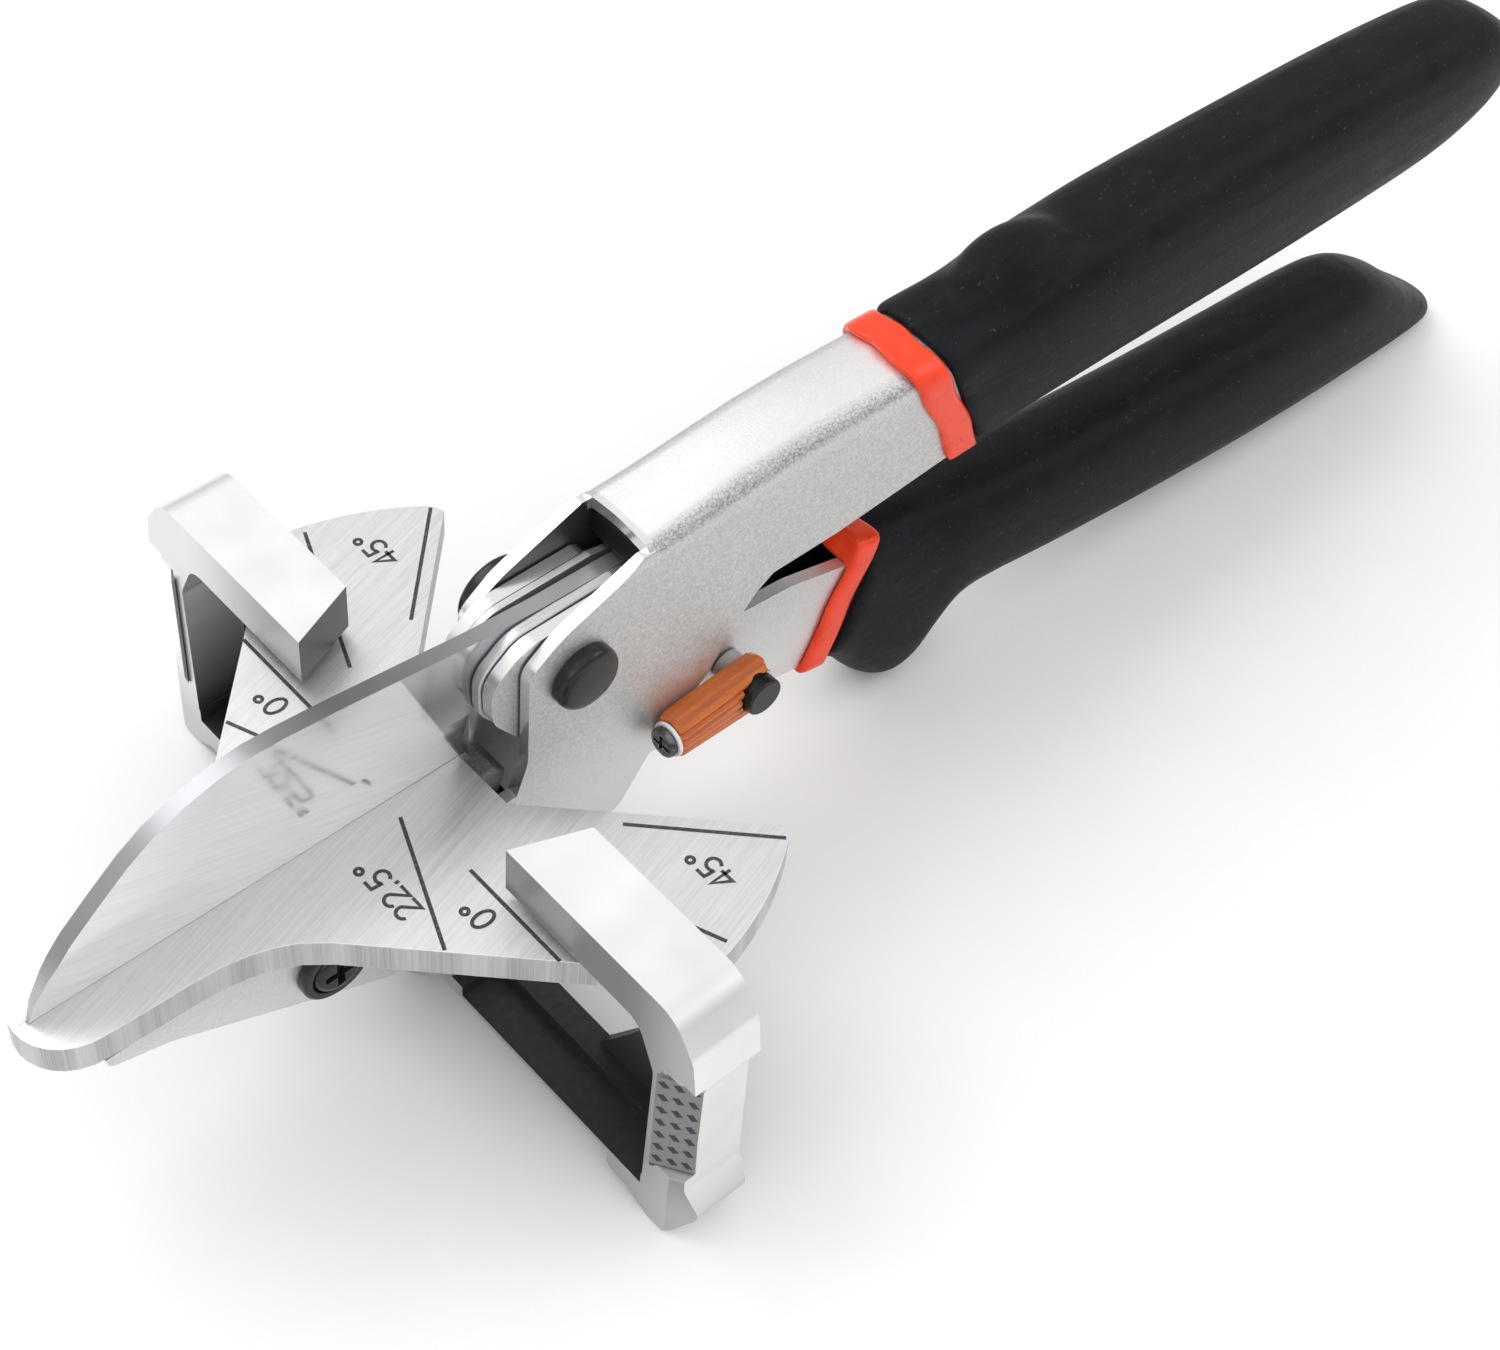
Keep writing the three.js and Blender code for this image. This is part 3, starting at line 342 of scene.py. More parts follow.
def cast_silver():
    look = Look("cast_silver", (0.84, 0.84, 0.85), metallic=0.72, roughness=0.32)
    fine = look.noise(0.8, detail=3)
    wave = look.noise(0.07, detail=2)
    tone = look.tones(wave, (0.74, 0.74, 0.75), (0.84, 0.84, 0.845))
    # painted shade: the front faces are painted darkest in the middle and brighter towards both legs
    shade_greys_across = ((0.0, 0.72), (0.22, 0.30), (0.45, 0.15), (0.88, 0.20), (1.0, 0.46))
    front = look.ramp(look.between("Y", -50, 58), shade_greys_across)
    tone = look.blend(look.remap(look.facing("X"), 0.45, 0.8), tone, front)
    # the slanted front corners keep the grey of the bare casting
    slant = look.remap(look.math("ABSOLUTE", look.facing("Y")), 0.40, 0.50)
    slant = look.times(slant, look.remap(look.facing("X"), 0.70, 0.80))
    slant = look.times(slant, look.between("Z", -26, -27))
    tone = look.blend(slant, tone, (0.27, 0.272, 0.28))
    # painted shade: the casting is painted darker towards its bottom
    tone = look.blend(look.between("Z", -27, -36, 0.0, 0.7), tone, (0.50, 0.50, 0.505))
    # the inner ends of the two arms are painted dark, as painted shade
    outward = look.times(look.math("SIGN", look.along("Y")), look.facing("Y"))
    end = look.times(look.remap(outward, -0.6, -0.85), look.between("Z", 0.4, 1.2))
    tone = look.blend(end, tone, (0.17, 0.172, 0.176))
    # the recess between the legs, under the plate, is painted dark as painted shade, behind a bright
    # front lip
    between_legs = look.remap(look.math("ABSOLUTE", look.along("Y")), 51.5 * MM, 51.2 * MM)
    below_plate = look.between("Z", -7, -9)
    lip = look.times(look.remap(look.facing("X"), 0.35, 0.7), look.between("X", 5.3, 5.8))
    shaded_pocket = look.times(look.times(between_legs, below_plate), look.math("SUBTRACT", 1.0, lip))
    pocket_shade_tone = look.tones(fine, (0.044, 0.045, 0.046), (0.056, 0.058, 0.059))
    look.colour(look.blend(shaded_pocket, tone, pocket_shade_tone))
    look.gloss(look.mixed(shaded_pocket, look.spread(wave, 0.30, 0.36), 0.5))
    look.relief(wave, 0.2, 0.2)
    look.relief(fine, 0.01, 0.3)
    return look.mat


def knurl_grey(name, light):
    """A grey that gets darker and duller as light falls below 1; below 1 it is a painted shade of the
    same grey.
    """
    look = Look(name, (0.2, 0.2, 0.2), metallic=0.5 * light, roughness=0.5)
    look.option("Specular IOR Level", 0.5 * light)
    fine = look.noise(3.0, detail=3)
    dark = [level * light for level in (0.20, 0.205, 0.21)]
    pale = [level * light for level in (0.29, 0.295, 0.30)]
    look.colour(look.tones(fine, dark, pale))
    look.gloss(look.spread(fine, 0.4, 0.6))
    look.relief(fine, 0.03, 0.6)
    return look.mat


def grey_casting():
    look = Look("grey_casting", (0.2, 0.2, 0.2), metallic=0.55, roughness=0.6)
    sand = look.noise(2.6, detail=5, rough=0.7)
    look.colour(look.tones(sand, (0.10, 0.10, 0.105), (0.26, 0.26, 0.265)))
    look.gloss(look.spread(sand, 0.5, 0.72))
    look.relief(sand, 0.08, 0.8)
    return look.mat


def black_oxide():
    look = Look("black_oxide", (0.03, 0.031, 0.033), metallic=0.2, roughness=0.28)
    turn = look.noise(0.9, detail=3)
    worn = look.times(edge_wear(look, 0.3), look.remap(turn, 0.52, 0.66))
    tone = look.tones(turn, (0.016, 0.016, 0.017), (0.021, 0.021, 0.022))
    look.colour(look.blend(look.times(worn, 0.2), tone, (0.22, 0.22, 0.23)))
    look.gloss(look.spread(turn, 0.20, 0.27))
    look.option("Specular IOR Level", 0.35)
    look.relief(look.noise(2.2, detail=2), 0.006, 0.4)
    return look.mat


def black_grip():
    look = Look("black_grip", (0.013, 0.015, 0.018), roughness=0.5)
    skin = look.noise(2.4, detail=4, rough=0.6)
    wrinkle = look.noise(1.0, look.stretched((0.10, 0.32, 0.32)), detail=3, distort=0.6)
    dust = look.remap(look.noise(1.3, detail=1), 0.70, 0.78)
    tone = look.tones(wrinkle, (0.0085, 0.0092, 0.0108), (0.0135, 0.0146, 0.0168), 0.35, 0.7)
    look.colour(look.blend(look.times(dust, 0.10), tone, (0.3, 0.3, 0.3)))
    look.gloss(look.math("ADD", look.spread(skin, 0.40, 0.54), look.spread(wrinkle, -0.06, 0.04)))
    look.option("Specular IOR Level", 0.07)
    look.relief(wrinkle, 0.35, 0.30)
    look.relief(skin, 0.02, 0.5)
    return look.mat


def black_rubber():
    look = Look("black_rubber", (0.012, 0.012, 0.013), roughness=0.55)
    chip = look.noise(1.6, detail=4)
    look.colour(look.tones(chip, (0.003, 0.003, 0.0033), (0.008, 0.008, 0.0085), 0.4, 0.7))
    look.gloss(look.spread(chip, 0.35, 0.6))
    look.option("Specular IOR Level", 0.2)
    look.relief(chip, 0.06, 0.7)
    return look.mat


def red_band():
    look = Look("red_band", (0.90, 0.082, 0.028), roughness=0.3)
    run = look.noise(0.35, detail=3)
    look.colour(look.tones(run, (0.80, 0.045, 0.010), (0.90, 0.062, 0.016)))
    look.option("Specular IOR Level", 0.3)
    look.gloss(look.spread(run, 0.24, 0.36))
    look.relief(run, 0.10, 0.4)
    look.relief(look.noise(4.0, detail=2), 0.01, 0.4)
    look.option("Coat Weight", 0.08)
    look.option("Coat Roughness", 0.15)
    return look.mat


def orange_plastic():
    look = Look("orange_plastic", (0.60, 0.13, 0.012), roughness=0.3)
    flow = look.noise(1.0, look.stretched((0.12, 0.9, 0.9)), detail=3, distort=0.4)
    tone = look.tones(flow, (0.50, 0.098, 0.005), (0.64, 0.145, 0.008))
    # the grooves between the ribs, which run the lever's length and draw together forwards, are painted
    # dark as painted shade
    rear_end, front_end, groove_at, groove_shade_strength = -47.8, -32.8, 0.1, 0.6
    lowest = look.between("X", rear_end, front_end, AXIS.z - 13.3 * MM, AXIS.z - 12.3 * MM)
    pitch = look.between("X", rear_end, front_end, 1.383 * MM, 1.05 * MM)
    ribs_up = look.math("DIVIDE", look.math("SUBTRACT", look.along("Z"), lowest), pitch)
    off_groove = look.math("ABSOLUTE", look.math("SUBTRACT", look.math("FRACT", ribs_up), groove_at))
    groove = look.times(look.remap(off_groove, 0.22, 0.12), look.remap(look.facing("Y"), 0.2, 0.5))
    tone = look.blend(look.times(groove, groove_shade_strength), tone, (0.22, 0.032, 0.002))
    # the boss between the lever and the sheet is grey
    look.colour(look.blend(look.between("Y", 7.85, 7.75), tone, (0.36, 0.35, 0.34)))
    look.gloss(look.spread(flow, 0.22, 0.36))
    look.relief(look.noise(3.0, detail=2), 0.012, 0.5)
    look.option("Coat Weight", 0.2)
    look.option("Coat Roughness", 0.12)
    look.option("Subsurface Weight", 0.03)
    return look.mat


def white_plastic():
    look = Look("white_plastic", (0.82, 0.82, 0.80), roughness=0.35)
    fine = look.noise(1.8, detail=2)
    look.colour(look.tones(fine, (0.76, 0.76, 0.74), (0.86, 0.86, 0.85)))
    look.gloss(look.spread(fine, 0.28, 0.42))
    look.relief(fine, 0.01, 0.4)
    return look.mat


def ink():
    look = Look("angle_marks", (0.04, 0.04, 0.042), metallic=0.2, roughness=0.5)
    fine = look.noise(2.5, detail=4)
    look.colour(look.tones(fine, (0.030, 0.030, 0.032), (0.11, 0.11, 0.112), 0.45, 0.72))
    look.gloss(look.spread(fine, 0.4, 0.6))
    look.relief(fine, 0.01, 0.5)
    return look.mat


def table_top():
    look = Look("pale_floor", (0.93, 0.93, 0.93), roughness=0.85)
    fine = look.noise(0.05, detail=2)
    look.colour(look.tones(fine, (0.885, 0.885, 0.885), (0.90, 0.90, 0.90)))
    return look.mat


SLOT_LOOKS = (
    satin_steel, plate_steel, blade_steel, bright_steel, cast_silver, grey_casting,
    black_oxide, black_grip, black_rubber, red_band, orange_plastic, white_plastic,
)
MATERIALS = {make.__name__: make() for make in SLOT_LOOKS}
KNURL = knurl_grey("knurl_grey", 0.82)
# the pit grey is a painted shade of the knurl grey
PIT_SHADE = knurl_grey("knurl_pit_shade", 0.26)
MARKS = ink()
MARK_LIFT = 0.03  # mm above the plate


# ---- pieces ------------------------------------------------------------------------------
def link(name, mesh, material, body, replaces=()):
    piece = bpy.data.objects.new(name, mesh)
    bpy.context.scene.collection.objects.link(piece)
    mesh.materials.clear()
    mesh.materials.append(material)
    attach(piece, body)
    if replaces:
        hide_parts(*replaces)
    return piece


def as_mesh(name, bm):
    mesh = bpy.data.meshes.new(name)
    bm.to_mesh(mesh)
    bm.free()
    return mesh


def baked(piece):
    """Applies the piece's modifiers to its mesh."""
    bpy.context.view_layer.update()
    graph = bpy.context.evaluated_depsgraph_get()
    mesh = bpy.data.meshes.new_from_object(piece.evaluated_get(graph))
    piece.modifiers.clear()
    old = piece.data
    piece.data = mesh
    bpy.data.meshes.remove(old)
    return piece


def trimmed(bm, cut):
    """Takes away what lies beyond a plane, given as (point, normal), and closes the cut."""
    point, normal = cut
    geometry = list(bm.verts) + list(bm.edges) + list(bm.faces)
    bmesh.ops.bisect_plane(bm, geom=geometry, plane_co=point, plane_no=normal, clear_outer=True)
    rim = [edge for edge in bm.edges if edge.is_boundary]
    bmesh.ops.holes_fill(bm, edges=rim)
    bmesh.ops.recalc_face_normals(bm, faces=bm.faces)


def clean_copy(node, flat_angle=1.0, cut=None):
    """The CAD node's shape as a light mesh with whole flat faces."""
    bm = bmesh.new()
    bm.from_mesh(NODES[node].data)
    bmesh.ops.remove_doubles(bm, verts=bm.verts, dist=1e-6)
    if cut:
        trimmed(bm, cut)
    bmesh.ops.dissolve_limit(
        bm, angle_limit=math.radians(flat_angle), verts=bm.verts, edges=bm.edges, delimit={"NORMAL"}
    )
    bmesh.ops.dissolve_degenerate(bm, edges=bm.edges, dist=2e-6)
    return as_mesh(node + "_fine", bm)


def soften(mesh, angle):
    """Smooth shading, but for edges sharper than an angle in degrees."""
    mesh.shade_smooth()
    mesh.set_sharp_from_angle(angle=math.radians(angle))


def edges_broken(piece, width, segments, corners="MITER_ARC"):
    """Rounds a piece's edges by a width in mm; its large flat faces stay flat up to the rounds."""
    bevel = piece.modifiers.new("edge", "BEVEL")
    bevel.width = width * MM
    bevel.segments = segments
    bevel.limit_method = "ANGLE"
    bevel.angle_limit = math.radians(30)
    bevel.miter_outer = corners
    baked(piece)
    soften(piece.data, 38)
    even = piece.modifiers.new("even", "WEIGHTED_NORMAL")
    even.keep_sharp = True
    even.weight = 80
    return baked(piece)


def finished(node, slot, width, segments, cut=None):
    """A CAD node with its edges broken by a small round."""
    body = NODES[node]["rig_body"]
    piece = link(node + "_fine", clean_copy(node, cut=cut), MATERIALS[slot], body, (node,))
    return edges_broken(piece, width, segments)


def core(node, swell, cut):
    """A copy of the sheet inside a dipped grip, swollen by mm and cut off at the grip's front."""
    bm = bmesh.new()
    bm.from_mesh(NODES[node].data)
    bmesh.ops.remove_doubles(bm, verts=bm.verts, dist=1e-6)
    bmesh.ops.recalc_face_normals(bm, faces=bm.faces)
    bm.normal_update()
    for vert in bm.verts:
        vert.co += vert.normal * swell * MM
    trimmed(bm, cut)
    return as_mesh(node + "_core", bm)


def moulded(node, slot, voxel, rounds, inside=None, calm=None):
    """A CAD node with the soft, closed skin of a dipped or moulded piece.

    voxel is the skin's grain in mm, and rounds is how often it is smoothed. inside is a mesh
    that the skin also covers. calm is (centre, radius in mm, rounds) of a place that is
    smoothed further.
    """
    body = NODES[node]["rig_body"]
    mesh = clean_copy(node, 0.1)
    if inside:
        bm = bmesh.new()
        bm.from_mesh(mesh)
        bm.from_mesh(inside)
        bm.to_mesh(mesh)
        bm.free()
    piece = link(node + "_skin", mesh, MATERIALS[slot], body, (node,))
    remesh = piece.modifiers.new("skin", "REMESH")
    remesh.mode = "VOXEL"
    remesh.voxel_size = voxel * MM
    remesh.use_smooth_shade = True
    smooth = piece.modifiers.new("smooth", "SMOOTH")
    smooth.factor = 0.5
    smooth.iterations = rounds
    baked(piece)
    if calm:
        centre, reach, more = calm
        group = piece.vertex_groups.new(name="calm")
        falloff = 2.5
        for vert in piece.data.vertices:
            near = 1.0 - (vert.co - centre).length / (reach * MM)
            if near > 0:
                group.add([vert.index], min(1.0, falloff * near), "REPLACE")
        settle = piece.modifiers.new("settle", "SMOOTH")
        settle.factor = 0.5
        settle.iterations = more
        settle.vertex_group = "calm"
        baked(piece)
    piece.data.shade_smooth()
    return piece


def turned(name, profile, x, z, steps=72):
    """A turned mesh along Y at a place in mm, from a profile of (radius, place along Y)."""
    bm = bmesh.new()
    rings = []
    for radius, y in profile:
        count = steps if radius else 1
        angles = [2 * math.pi * i / steps for i in range(count)]
        ring = [place(x + radius * math.cos(a), y, z + radius * math.sin(a)) for a in angles]
        rings.append([bm.verts.new(point) for point in ring])
    for low, high in zip(rings, rings[1:]):
        for i in range(steps):
            j = (i + 1) % steps
            if len(low) == 1 and len(high) > 1:
                bm.faces.new((low[0], high[i], high[j]))
            elif len(high) == 1 and len(low) > 1:
                bm.faces.new((low[i], low[j], high[0]))
            elif len(low) > 1:
                bm.faces.new((low[i], low[j], high[j], high[i]))
    bmesh.ops.recalc_face_normals(bm, faces=bm.faces)
    mesh = as_mesh(name, bm)
    soften(mesh, 28)
    return mesh


def rear_face(band):
    """The lowest point of a band's rear face."""
    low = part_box(band)[0]
    return Vector((low.x, 0.0, low.z))


def uneven_band(piece, narrower, lower):
    """Scales a band in close to its sheet and lets its edges wander as dipped ones do."""
    heights = [vert.co.z for vert in piece.data.vertices]
    middle = (min(heights) + max(heights)) / 2
    wander = 0.22 * MM
    for vert in piece.data.vertices:
        y, z = vert.co.y / MM, vert.co.z / MM
        vert.co.x += wander * (math.sin(0.75 * y + 0.5 * z) + math.sin(0.31 * z - 0.9))
        vert.co.y *= narrower
        vert.co.z = middle + (vert.co.z - middle) * lower
    return piece


def plate_with_groove():
    """The plate, with its slit closed up to a fine groove under the blade's edge."""
    slot = "plate_steel"
    mesh = clean_copy("angle_plate")
    half_width, slit_depth, groove_depth = 0.7 * MM, 1.2 * MM, 0.12 * MM
    for vert in mesh.vertices:
        depth = AXIS.z - vert.co.z
        if abs(vert.co.y) < half_width and 2 * groove_depth < depth < slit_depth:
            vert.co.z = AXIS.z - groove_depth
    piece = link("angle_plate_fine", mesh, MATERIALS[slot], "frame", ("angle_plate",))
    return edges_broken(piece, 0.14, 2, "MITER_SHARP")


def crisp_blade():
    """The blade: flat mirror faces with crisp borders, and a smooth curve along its back."""
    mesh = clean_copy("blade")
    body = NODES["blade"]["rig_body"]
    piece = link("blade_fine", mesh, MATERIALS["blade_steel"], body, ("blade",))
    crisp, open_edge = math.radians(40), math.pi
    bm = bmesh.new()
    bm.from_mesh(mesh)
    bm.normal_update()
    for face in bm.faces:
        face.smooth = abs(face.normal.y) < 0.5
    for edge in bm.edges:
        on_back = all(face.smooth for face in edge.link_faces)
        edge.smooth = on_back and edge.calc_face_angle(open_edge) < crisp
    bm.to_mesh(mesh)
    bm.free()
    return piece


def turned_pivot():
    """The pivot bolt with its low, rounded cap."""
    name, slot = "pivot_bolt", "black_oxide"
    low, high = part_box(name)
    centre = (low + high) / 2 - AXIS
    radius = (high.x - low.x) / 2 / MM
    shank, cap, rounding, dome, crown = 4.0, 2.5, 1.3, 0.25, 0.08
    foot, top = low.y / MM, high.y / MM
    profile = [(0, foot), (shank, foot), (shank, top - cap), (radius, top - cap)]
    for angle in range(0, 91, 18):
        inward = rounding * (1 - math.cos(math.radians(angle)))
        down = dome + rounding * (1 - math.sin(math.radians(angle)))
        profile.append((radius - inward, top - down))
    profile += [(radius / 2, top - crown), (0, top)]
    mesh = turned(name + "_fine", profile, centre.x / MM, centre.z / MM)
    return link(name + "_fine", mesh, MATERIALS[slot], NODES[name]["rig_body"], (name,))


def knurl_patch(side):
    """Rows of small pits on the slanted front corner of one fence leg."""
    start, end = Vector((6.96, 52.0)), Vector((1.4, 60.6))
    run = end - start
    out = Vector((run.y, -run.x)).normalized()
    low, high, rows = -26.0, -4.5, 7
    columns = (0.09, 0.29, 0.49, 0.69)  # their borders, as parts of the run
    proud, pit_depth, pit_width, tail = 0.35, 0.32, 0.84, 1.6
    tall, slanted = 0.85, 0.5  # a pit's corners above its middle: at its centre line, at its sides
    sunk, near = 0.1, 0.1  # how far the patch reaches into the casting; slack of the lowest row

    def corner(u, z, lift):
        flat = start + run * u + out * lift
        return place(flat.x, side * flat.y, z)

    bm = bmesh.new()
    pitch = (high - low) / rows
    for row in range(rows):
        z = low + row * pitch
        centre, top = z + pitch / 2, z + pitch
        for u0, u1 in zip(columns, columns[1:]):
            mid, half = (u0 + u1) / 2, (u1 - u0) * pit_width / 2
            cell = ((u0, z), (u1, z), (u1, top), (u0, top))
            mouth = (
                (mid, centre - tall), (mid + half, centre - slanted),
                (mid, centre + tall), (mid - half, centre + slanted),
            )
            outer = [bm.verts.new(corner(u, v, proud)) for u, v in cell]
            inner = [bm.verts.new(corner(u, v, proud)) for u, v in mouth]
            bottom = bm.verts.new(corner(mid, centre, proud - pit_depth))
            for i in range(4):
                j = (i + 1) % 4
                bm.faces.new((outer[i], outer[j], inner[i]))
                bm.faces.new((outer[j], inner[j], inner[i]))
                # the pit's inner faces take the pit grey, a painted shade
                bm.faces.new((inner[i], inner[j], bottom)).material_index = 1
    bmesh.ops.remove_doubles(bm, verts=bm.verts, dist=1e-5)

    # a skirt runs back into the casting, and its lower end tapers down and takes the pit grey as painted
    # shade
    rim = [edge for edge in bm.edges if edge.is_boundary]
    skirt = bmesh.ops.extrude_edge_only(bm, edges=rim)["geom"]
    back = Vector((out.x, side * out.y, 0)) * (proud + sunk) * MM
    for vert in (part for part in skirt if isinstance(part, bmesh.types.BMVert)):
        lowest = vert.co.z < place(0, 0, low + near).z
        vert.co -= back
        if lowest:
            vert.co.z -= tail * MM
    for face in (part for part in skirt if isinstance(part, bmesh.types.BMFace)):
        if face.calc_center_median().z < place(0, 0, low).z:
            face.material_index = 1
    bmesh.ops.recalc_face_normals(bm, faces=bm.faces)
    name = "knurl_right" if side > 0 else "knurl_left"
    mesh = bpy.data.meshes.new(name)
    piece = link(name, mesh, KNURL, "fence")
    mesh.materials.append(PIT_SHADE)
    # the faces come last, because link would clear their material numbers
    bm.to_mesh(mesh)
    bm.free()
    return piece


def face_up(face):
    face.normal_update()
    if face.normal.z < 0:
        face.normal_flip()


def marks(name, bm):
    """Flat inked shapes that lie on the plate."""
    return link(name, as_mesh(name, bm), MARKS, "frame")


def plate_lines():
    """Angle lines on both wings: turn in degrees, offset ahead, start and end along Y, in mm."""
    lines = (
        (0, 7.1, 16.0, 34.3), (-22.5, 6.9, 6.7, 28.6), (22.5, 6.9, 20.0, 46.4), (45, 6.9, 25.45, 47.2)
    )
    half, steps = 0.28, 12
    bm = bmesh.new()
    for side in (1, -1):
        for turn, ahead, start, end in lines:
            a = math.radians(turn)
            rails = []
            for i in range(steps + 1):
                t = start + (end - start) * i / steps
                rail = []
                for offset in (ahead - half, ahead + half):
                    x = offset * math.cos(a) - t * math.sin(a)
                    y = offset * math.sin(a) + t * math.cos(a)
                    rail.append(bm.verts.new(place(x, side * y, MARK_LIFT)))
                rails.append(rail)
            for low, high in zip(rails, rails[1:]):
                face_up(bm.faces.new((low[0], low[1], high[1], high[0])))
    return marks("angle_lines", bm)


def arc(across, up, radius, start, stop, tall=1.0, steps=14):
    """Points on a round stretch of a numeral, angles in degrees."""
    points = []
    for i in range(steps + 1):
        a = math.radians(start + (stop - start) * i / steps)
        points.append((across + radius * math.cos(a), up + radius * tall * math.sin(a)))
    return points


# strokes of plain numerals, one unit high, round their own middle
GLYPHS = {
    "0": [arc(0, 0, 0.28, 0, 360, 1.68, 28)],
    "2": [arc(0, 0.20, 0.27, 165, -28) + [(-0.28, -0.47), (0.30, -0.47)]],
    "4": [[(0.33, -0.22), (-0.30, -0.22), (0.14, 0.47), (0.14, -0.50)]],
    "5": [[(0.25, 0.47), (-0.18, 0.47), (-0.22, 0.05)] + arc(0, -0.18, 0.29, 128, -145)],
    "°": [arc(0, 0, 0.15, 0, 360, 1.0, 20)],
    ".": [[(-0.07, 0), (0.07, 0)]],
}


def ribbon(bm, points, half, place_point):
    """A flat stroke along a line of points, with mitred corners."""
    rails = []
    sharpest = 0.5  # a corner reaches out at most twice the stroke's half width
    closed = math.dist(points[0], points[-1]) < 1e-6
    for i, (u, v) in enumerate(points):
        before = points[i - 1] if i else (points[-2] if closed else None)
        after = points[i + 1] if i + 1 < len(points) else (points[1] if closed else None)
        runs = [Vector(b) - Vector(a) for a, b in ((before, (u, v)), ((u, v), after)) if a and b]
        normals = [Vector((-run.y, run.x)).normalized() for run in runs]
        across = sum(normals, Vector((0, 0))).normalized()
        reach = half / max(sharpest, across.dot(normals[0]))
        corners = [place_point(u + across.x * k, v + across.y * k) for k in (-reach, reach)]
        rails.append([bm.verts.new(corner) for corner in corners])
    for low, high in zip(rails, rails[1:]):
        face_up(bm.faces.new((low[0], low[1], high[1], high[0])))


def plate_numerals():
    """Numerals as (glyph, x, y) in mm, upright towards the nose of the plate."""
    glyphs = [
        ("4", -17.5, 37.9), ("5", -17.5, 35.4), ("°", -16.2, 32.9),
        ("0", 10.6, 23.1), ("°", 11.7, 20.7),
        ("2", 17.2, 15.9), ("2", 17.2, 13.4), (".", 15.6, 11.6), ("5", 17.2, 9.8), ("°", 18.4, 7.2),
        ("4", -17.4, -34.3), ("5", -17.4, -36.8), ("°", -16.2, -39.3),
        ("0", 10.6, -21.9), ("°", 11.7, -24.3),
        ("2", 17.2, -6.8), ("2", 17.2, -9.3), (".", 15.6, -11.1), ("5", 17.2, -12.9), ("°", 18.4, -15.5),
    ]
    tall, stroke_half = 3.5, 0.073
    dot_half = 1.3 * stroke_half
    bm = bmesh.new()
    for glyph, x, y in glyphs:
        half = dot_half if glyph == "." else stroke_half
        for stroke in GLYPHS[glyph]:
            ribbon(bm, stroke, half, lambda u, v: place(x + v * tall, y - u * tall, MARK_LIFT))
    return marks("angle_numerals", bm)


# ---- the object --------------------------------------------------------------------------
# the upper handle's sheet ends just inside its grip, where nothing shows
grip_face = rear_face("upper_band")
sheet_end = grip_face + Vector((-1.5 * MM, 0, 0))
grip_start = grip_face + Vector((-0.2 * MM, 0, 0))
finished("frame_channel", "satin_steel", 0.30, 2, cut=(sheet_end, REARWARD))
finished("lower_channel", "satin_steel", 0.25, 2)
plate_with_groove()
crisp_blade()

LARGER_PIECES = (
    # node, slot, round of the edges in mm, segments of the round
    ("blade_clamp_right", "bright_steel", 0.3, 2),
    ("blade_clamp_left", "bright_steel", 0.3, 2),
    ("fence_bracket", "cast_silver", 0.8, 4),
    ("plate_block", "grey_casting", 0.3, 2),
    ("clamp_nut", "bright_steel", 0.25, 2),
    ("clamp_screw", "black_oxide", 0.1, 1),
    ("fence_bolt", "black_oxide", 0.2, 2),
    ("fence_nut", "black_oxide", 0.2, 2),
    ("latch_lever", "orange_plastic", 0.18, 2),
)
for node, slot, rounding, segments in LARGER_PIECES:
    finished(node, slot, rounding, segments)
latch_screw = finished("latch_screw", "bright_steel", 0.08, 1)
latch_screw.data.materials[0] = worn_zinc()

uneven_band(moulded("upper_band", "red_band", 0.35, 16), narrower=0.945, lower=0.975)
uneven_band(moulded("lower_band", "red_band", 0.35, 30), narrower=0.98, lower=0.985)
moulded("bumper_block", "black_rubber", 0.25, 4)
sheet_inside = core("frame_channel", 1.6, (grip_start, -REARWARD))
thumb_rest = (place(-104, 0, 37), 24, 90)
moulded("upper_grip", "black_grip", 0.6, 18, inside=sheet_inside, calm=thumb_rest)
moulded("lower_grip", "black_grip", 0.7, 16)
turned_pivot()
for side in (1, -1):
    knurl_patch(side)

plate_lines()
plate_numerals()

SMALL_PIECES = (
    ("clamp_washer", "black_oxide"),
    ("pivot_nut", "black_oxide"),
    ("cross_pin", "black_oxide"),
    ("latch_pin", "black_oxide"),
    ("latch_washer", "white_plastic"),
    ("fence_washer", "black_oxide"),
    ("detent_plunger", "black_oxide"),
)
for node, slot in SMALL_PIECES:
    finished(node, slot, 0.15, 2)

# ---- floor, light and camera -------------------------------------------------------------
FLOOR_SIZE = 40.0
FLOOR_DROP = 0.2 * MM  # below the feet
bpy.ops.mesh.primitive_plane_add(size=FLOOR_SIZE, location=(0, 0, -FLOOR_DROP))
floor = bpy.context.object
floor.name = "floor"
floor.data.materials.append(table_top())


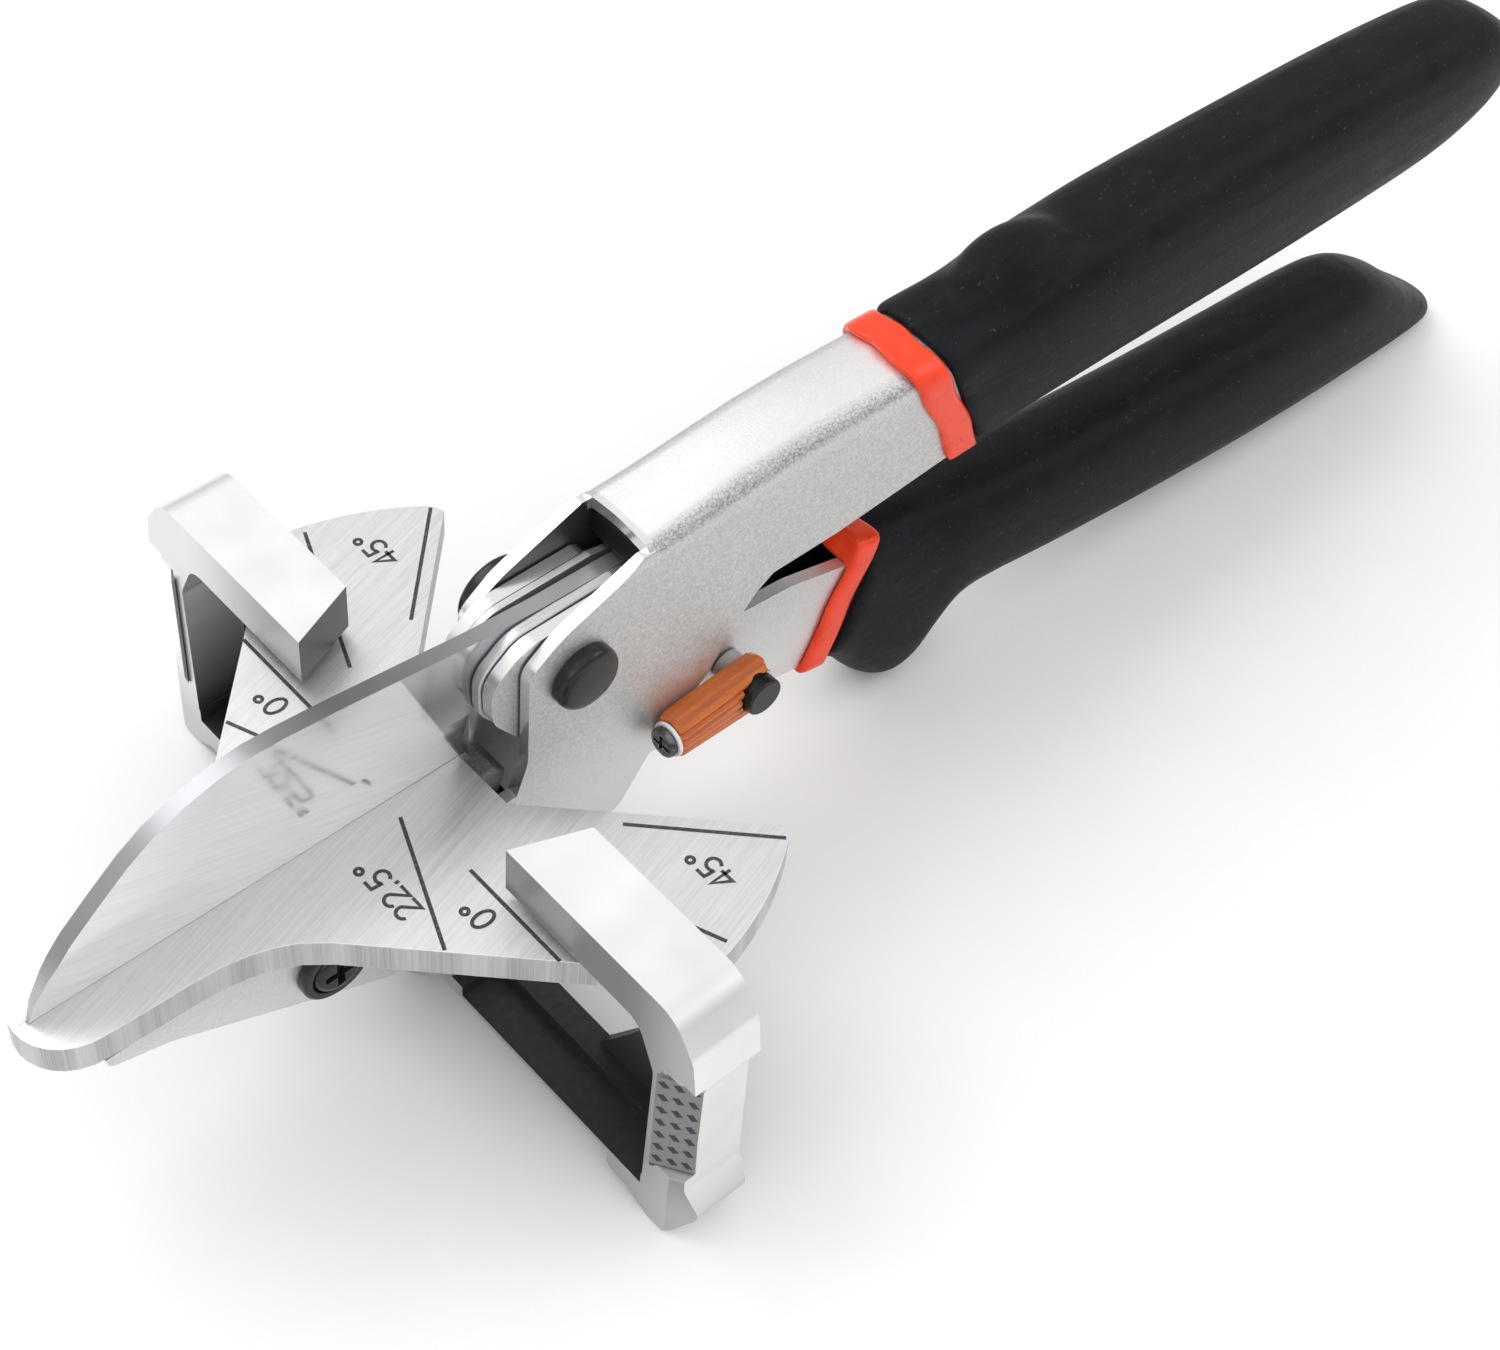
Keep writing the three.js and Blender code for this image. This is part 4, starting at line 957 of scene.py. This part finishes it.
def studio_world():
    """Bright overhead, grey towards the horizon, darker behind the object."""
    world = bpy.data.worlds.new("studio")
    world.use_nodes = True
    tree = world.node_tree
    add = tree.nodes.new
    split = add("ShaderNodeSeparateXYZ")
    tree.links.new(add("ShaderNodeTexCoord").outputs["Generated"], split.inputs[0])

    def ramp(socket, low, high, to_low, to_high):
        node = add("ShaderNodeMapRange")
        node.interpolation_type = "SMOOTHSTEP"
        tree.links.new(socket, node.inputs["Value"])
        for key, v in zip(("From Min", "From Max", "To Min", "To Max"), (low, high, to_low, to_high)):
            node.inputs[key].default_value = v
        return node.outputs["Result"]

    height = ramp(split.outputs["Z"], 0.0, 0.75, 0.50, 1.12)
    side = ramp(split.outputs["X"], -0.9, 0.5, 0.78, 1.05)
    product = add("ShaderNodeMath")
    product.operation = "MULTIPLY"
    tree.links.new(height, product.inputs[0])
    tree.links.new(side, product.inputs[1])
    tree.links.new(product.outputs[0], tree.nodes["Background"].inputs["Strength"])
    tree.nodes["Background"].inputs["Color"].default_value = (1.0, 1.0, 1.0, 1)
    bpy.context.scene.world = world


studio_world()


def panel(name, location, target, size, power):
    """A soft lamp that faces a target; lengths in metres, power in watts."""
    light = bpy.data.lights.new(name, "AREA")
    light.shape = "RECTANGLE"
    light.size, light.size_y = size
    light.energy = power
    lamp = bpy.data.objects.new(name, light)
    bpy.context.scene.collection.objects.link(lamp)
    lamp.location = location
    lamp.rotation_euler = (Vector(target) - Vector(location)).to_track_quat("-Z", "Y").to_euler()
    return lamp


panel("key", (0.25, -0.55, 0.85), (0.0, 0.0, 0.03), (0.7, 0.7), 3.2)
panel("fill", (0.7, 0.5, 0.55), (0.05, 0.0, 0.03), (0.6, 0.4), 0.8)
panel("rim", (-0.6, 0.4, 0.55), (0.0, 0.0, 0.04), (0.5, 0.3), 1.0)

# the photograph's viewing angle
camera = bpy.data.cameras.new("camera")
camera.sensor_fit = "HORIZONTAL"
camera.sensor_width = 36.0
camera.lens = 62.4
camera.clip_start = 0.01
eye = bpy.data.objects.new("camera", camera)
bpy.context.scene.collection.objects.link(eye)
eye.location = place(128.48, 172.11, 277.60)
eye.rotation_euler = Euler((math.radians(39.865), math.radians(-4.402), math.radians(137.751)))
bpy.context.scene.camera = eye
bpy.context.scene.view_settings.view_transform = "Standard"
bpy.context.scene.view_settings.look = "None"
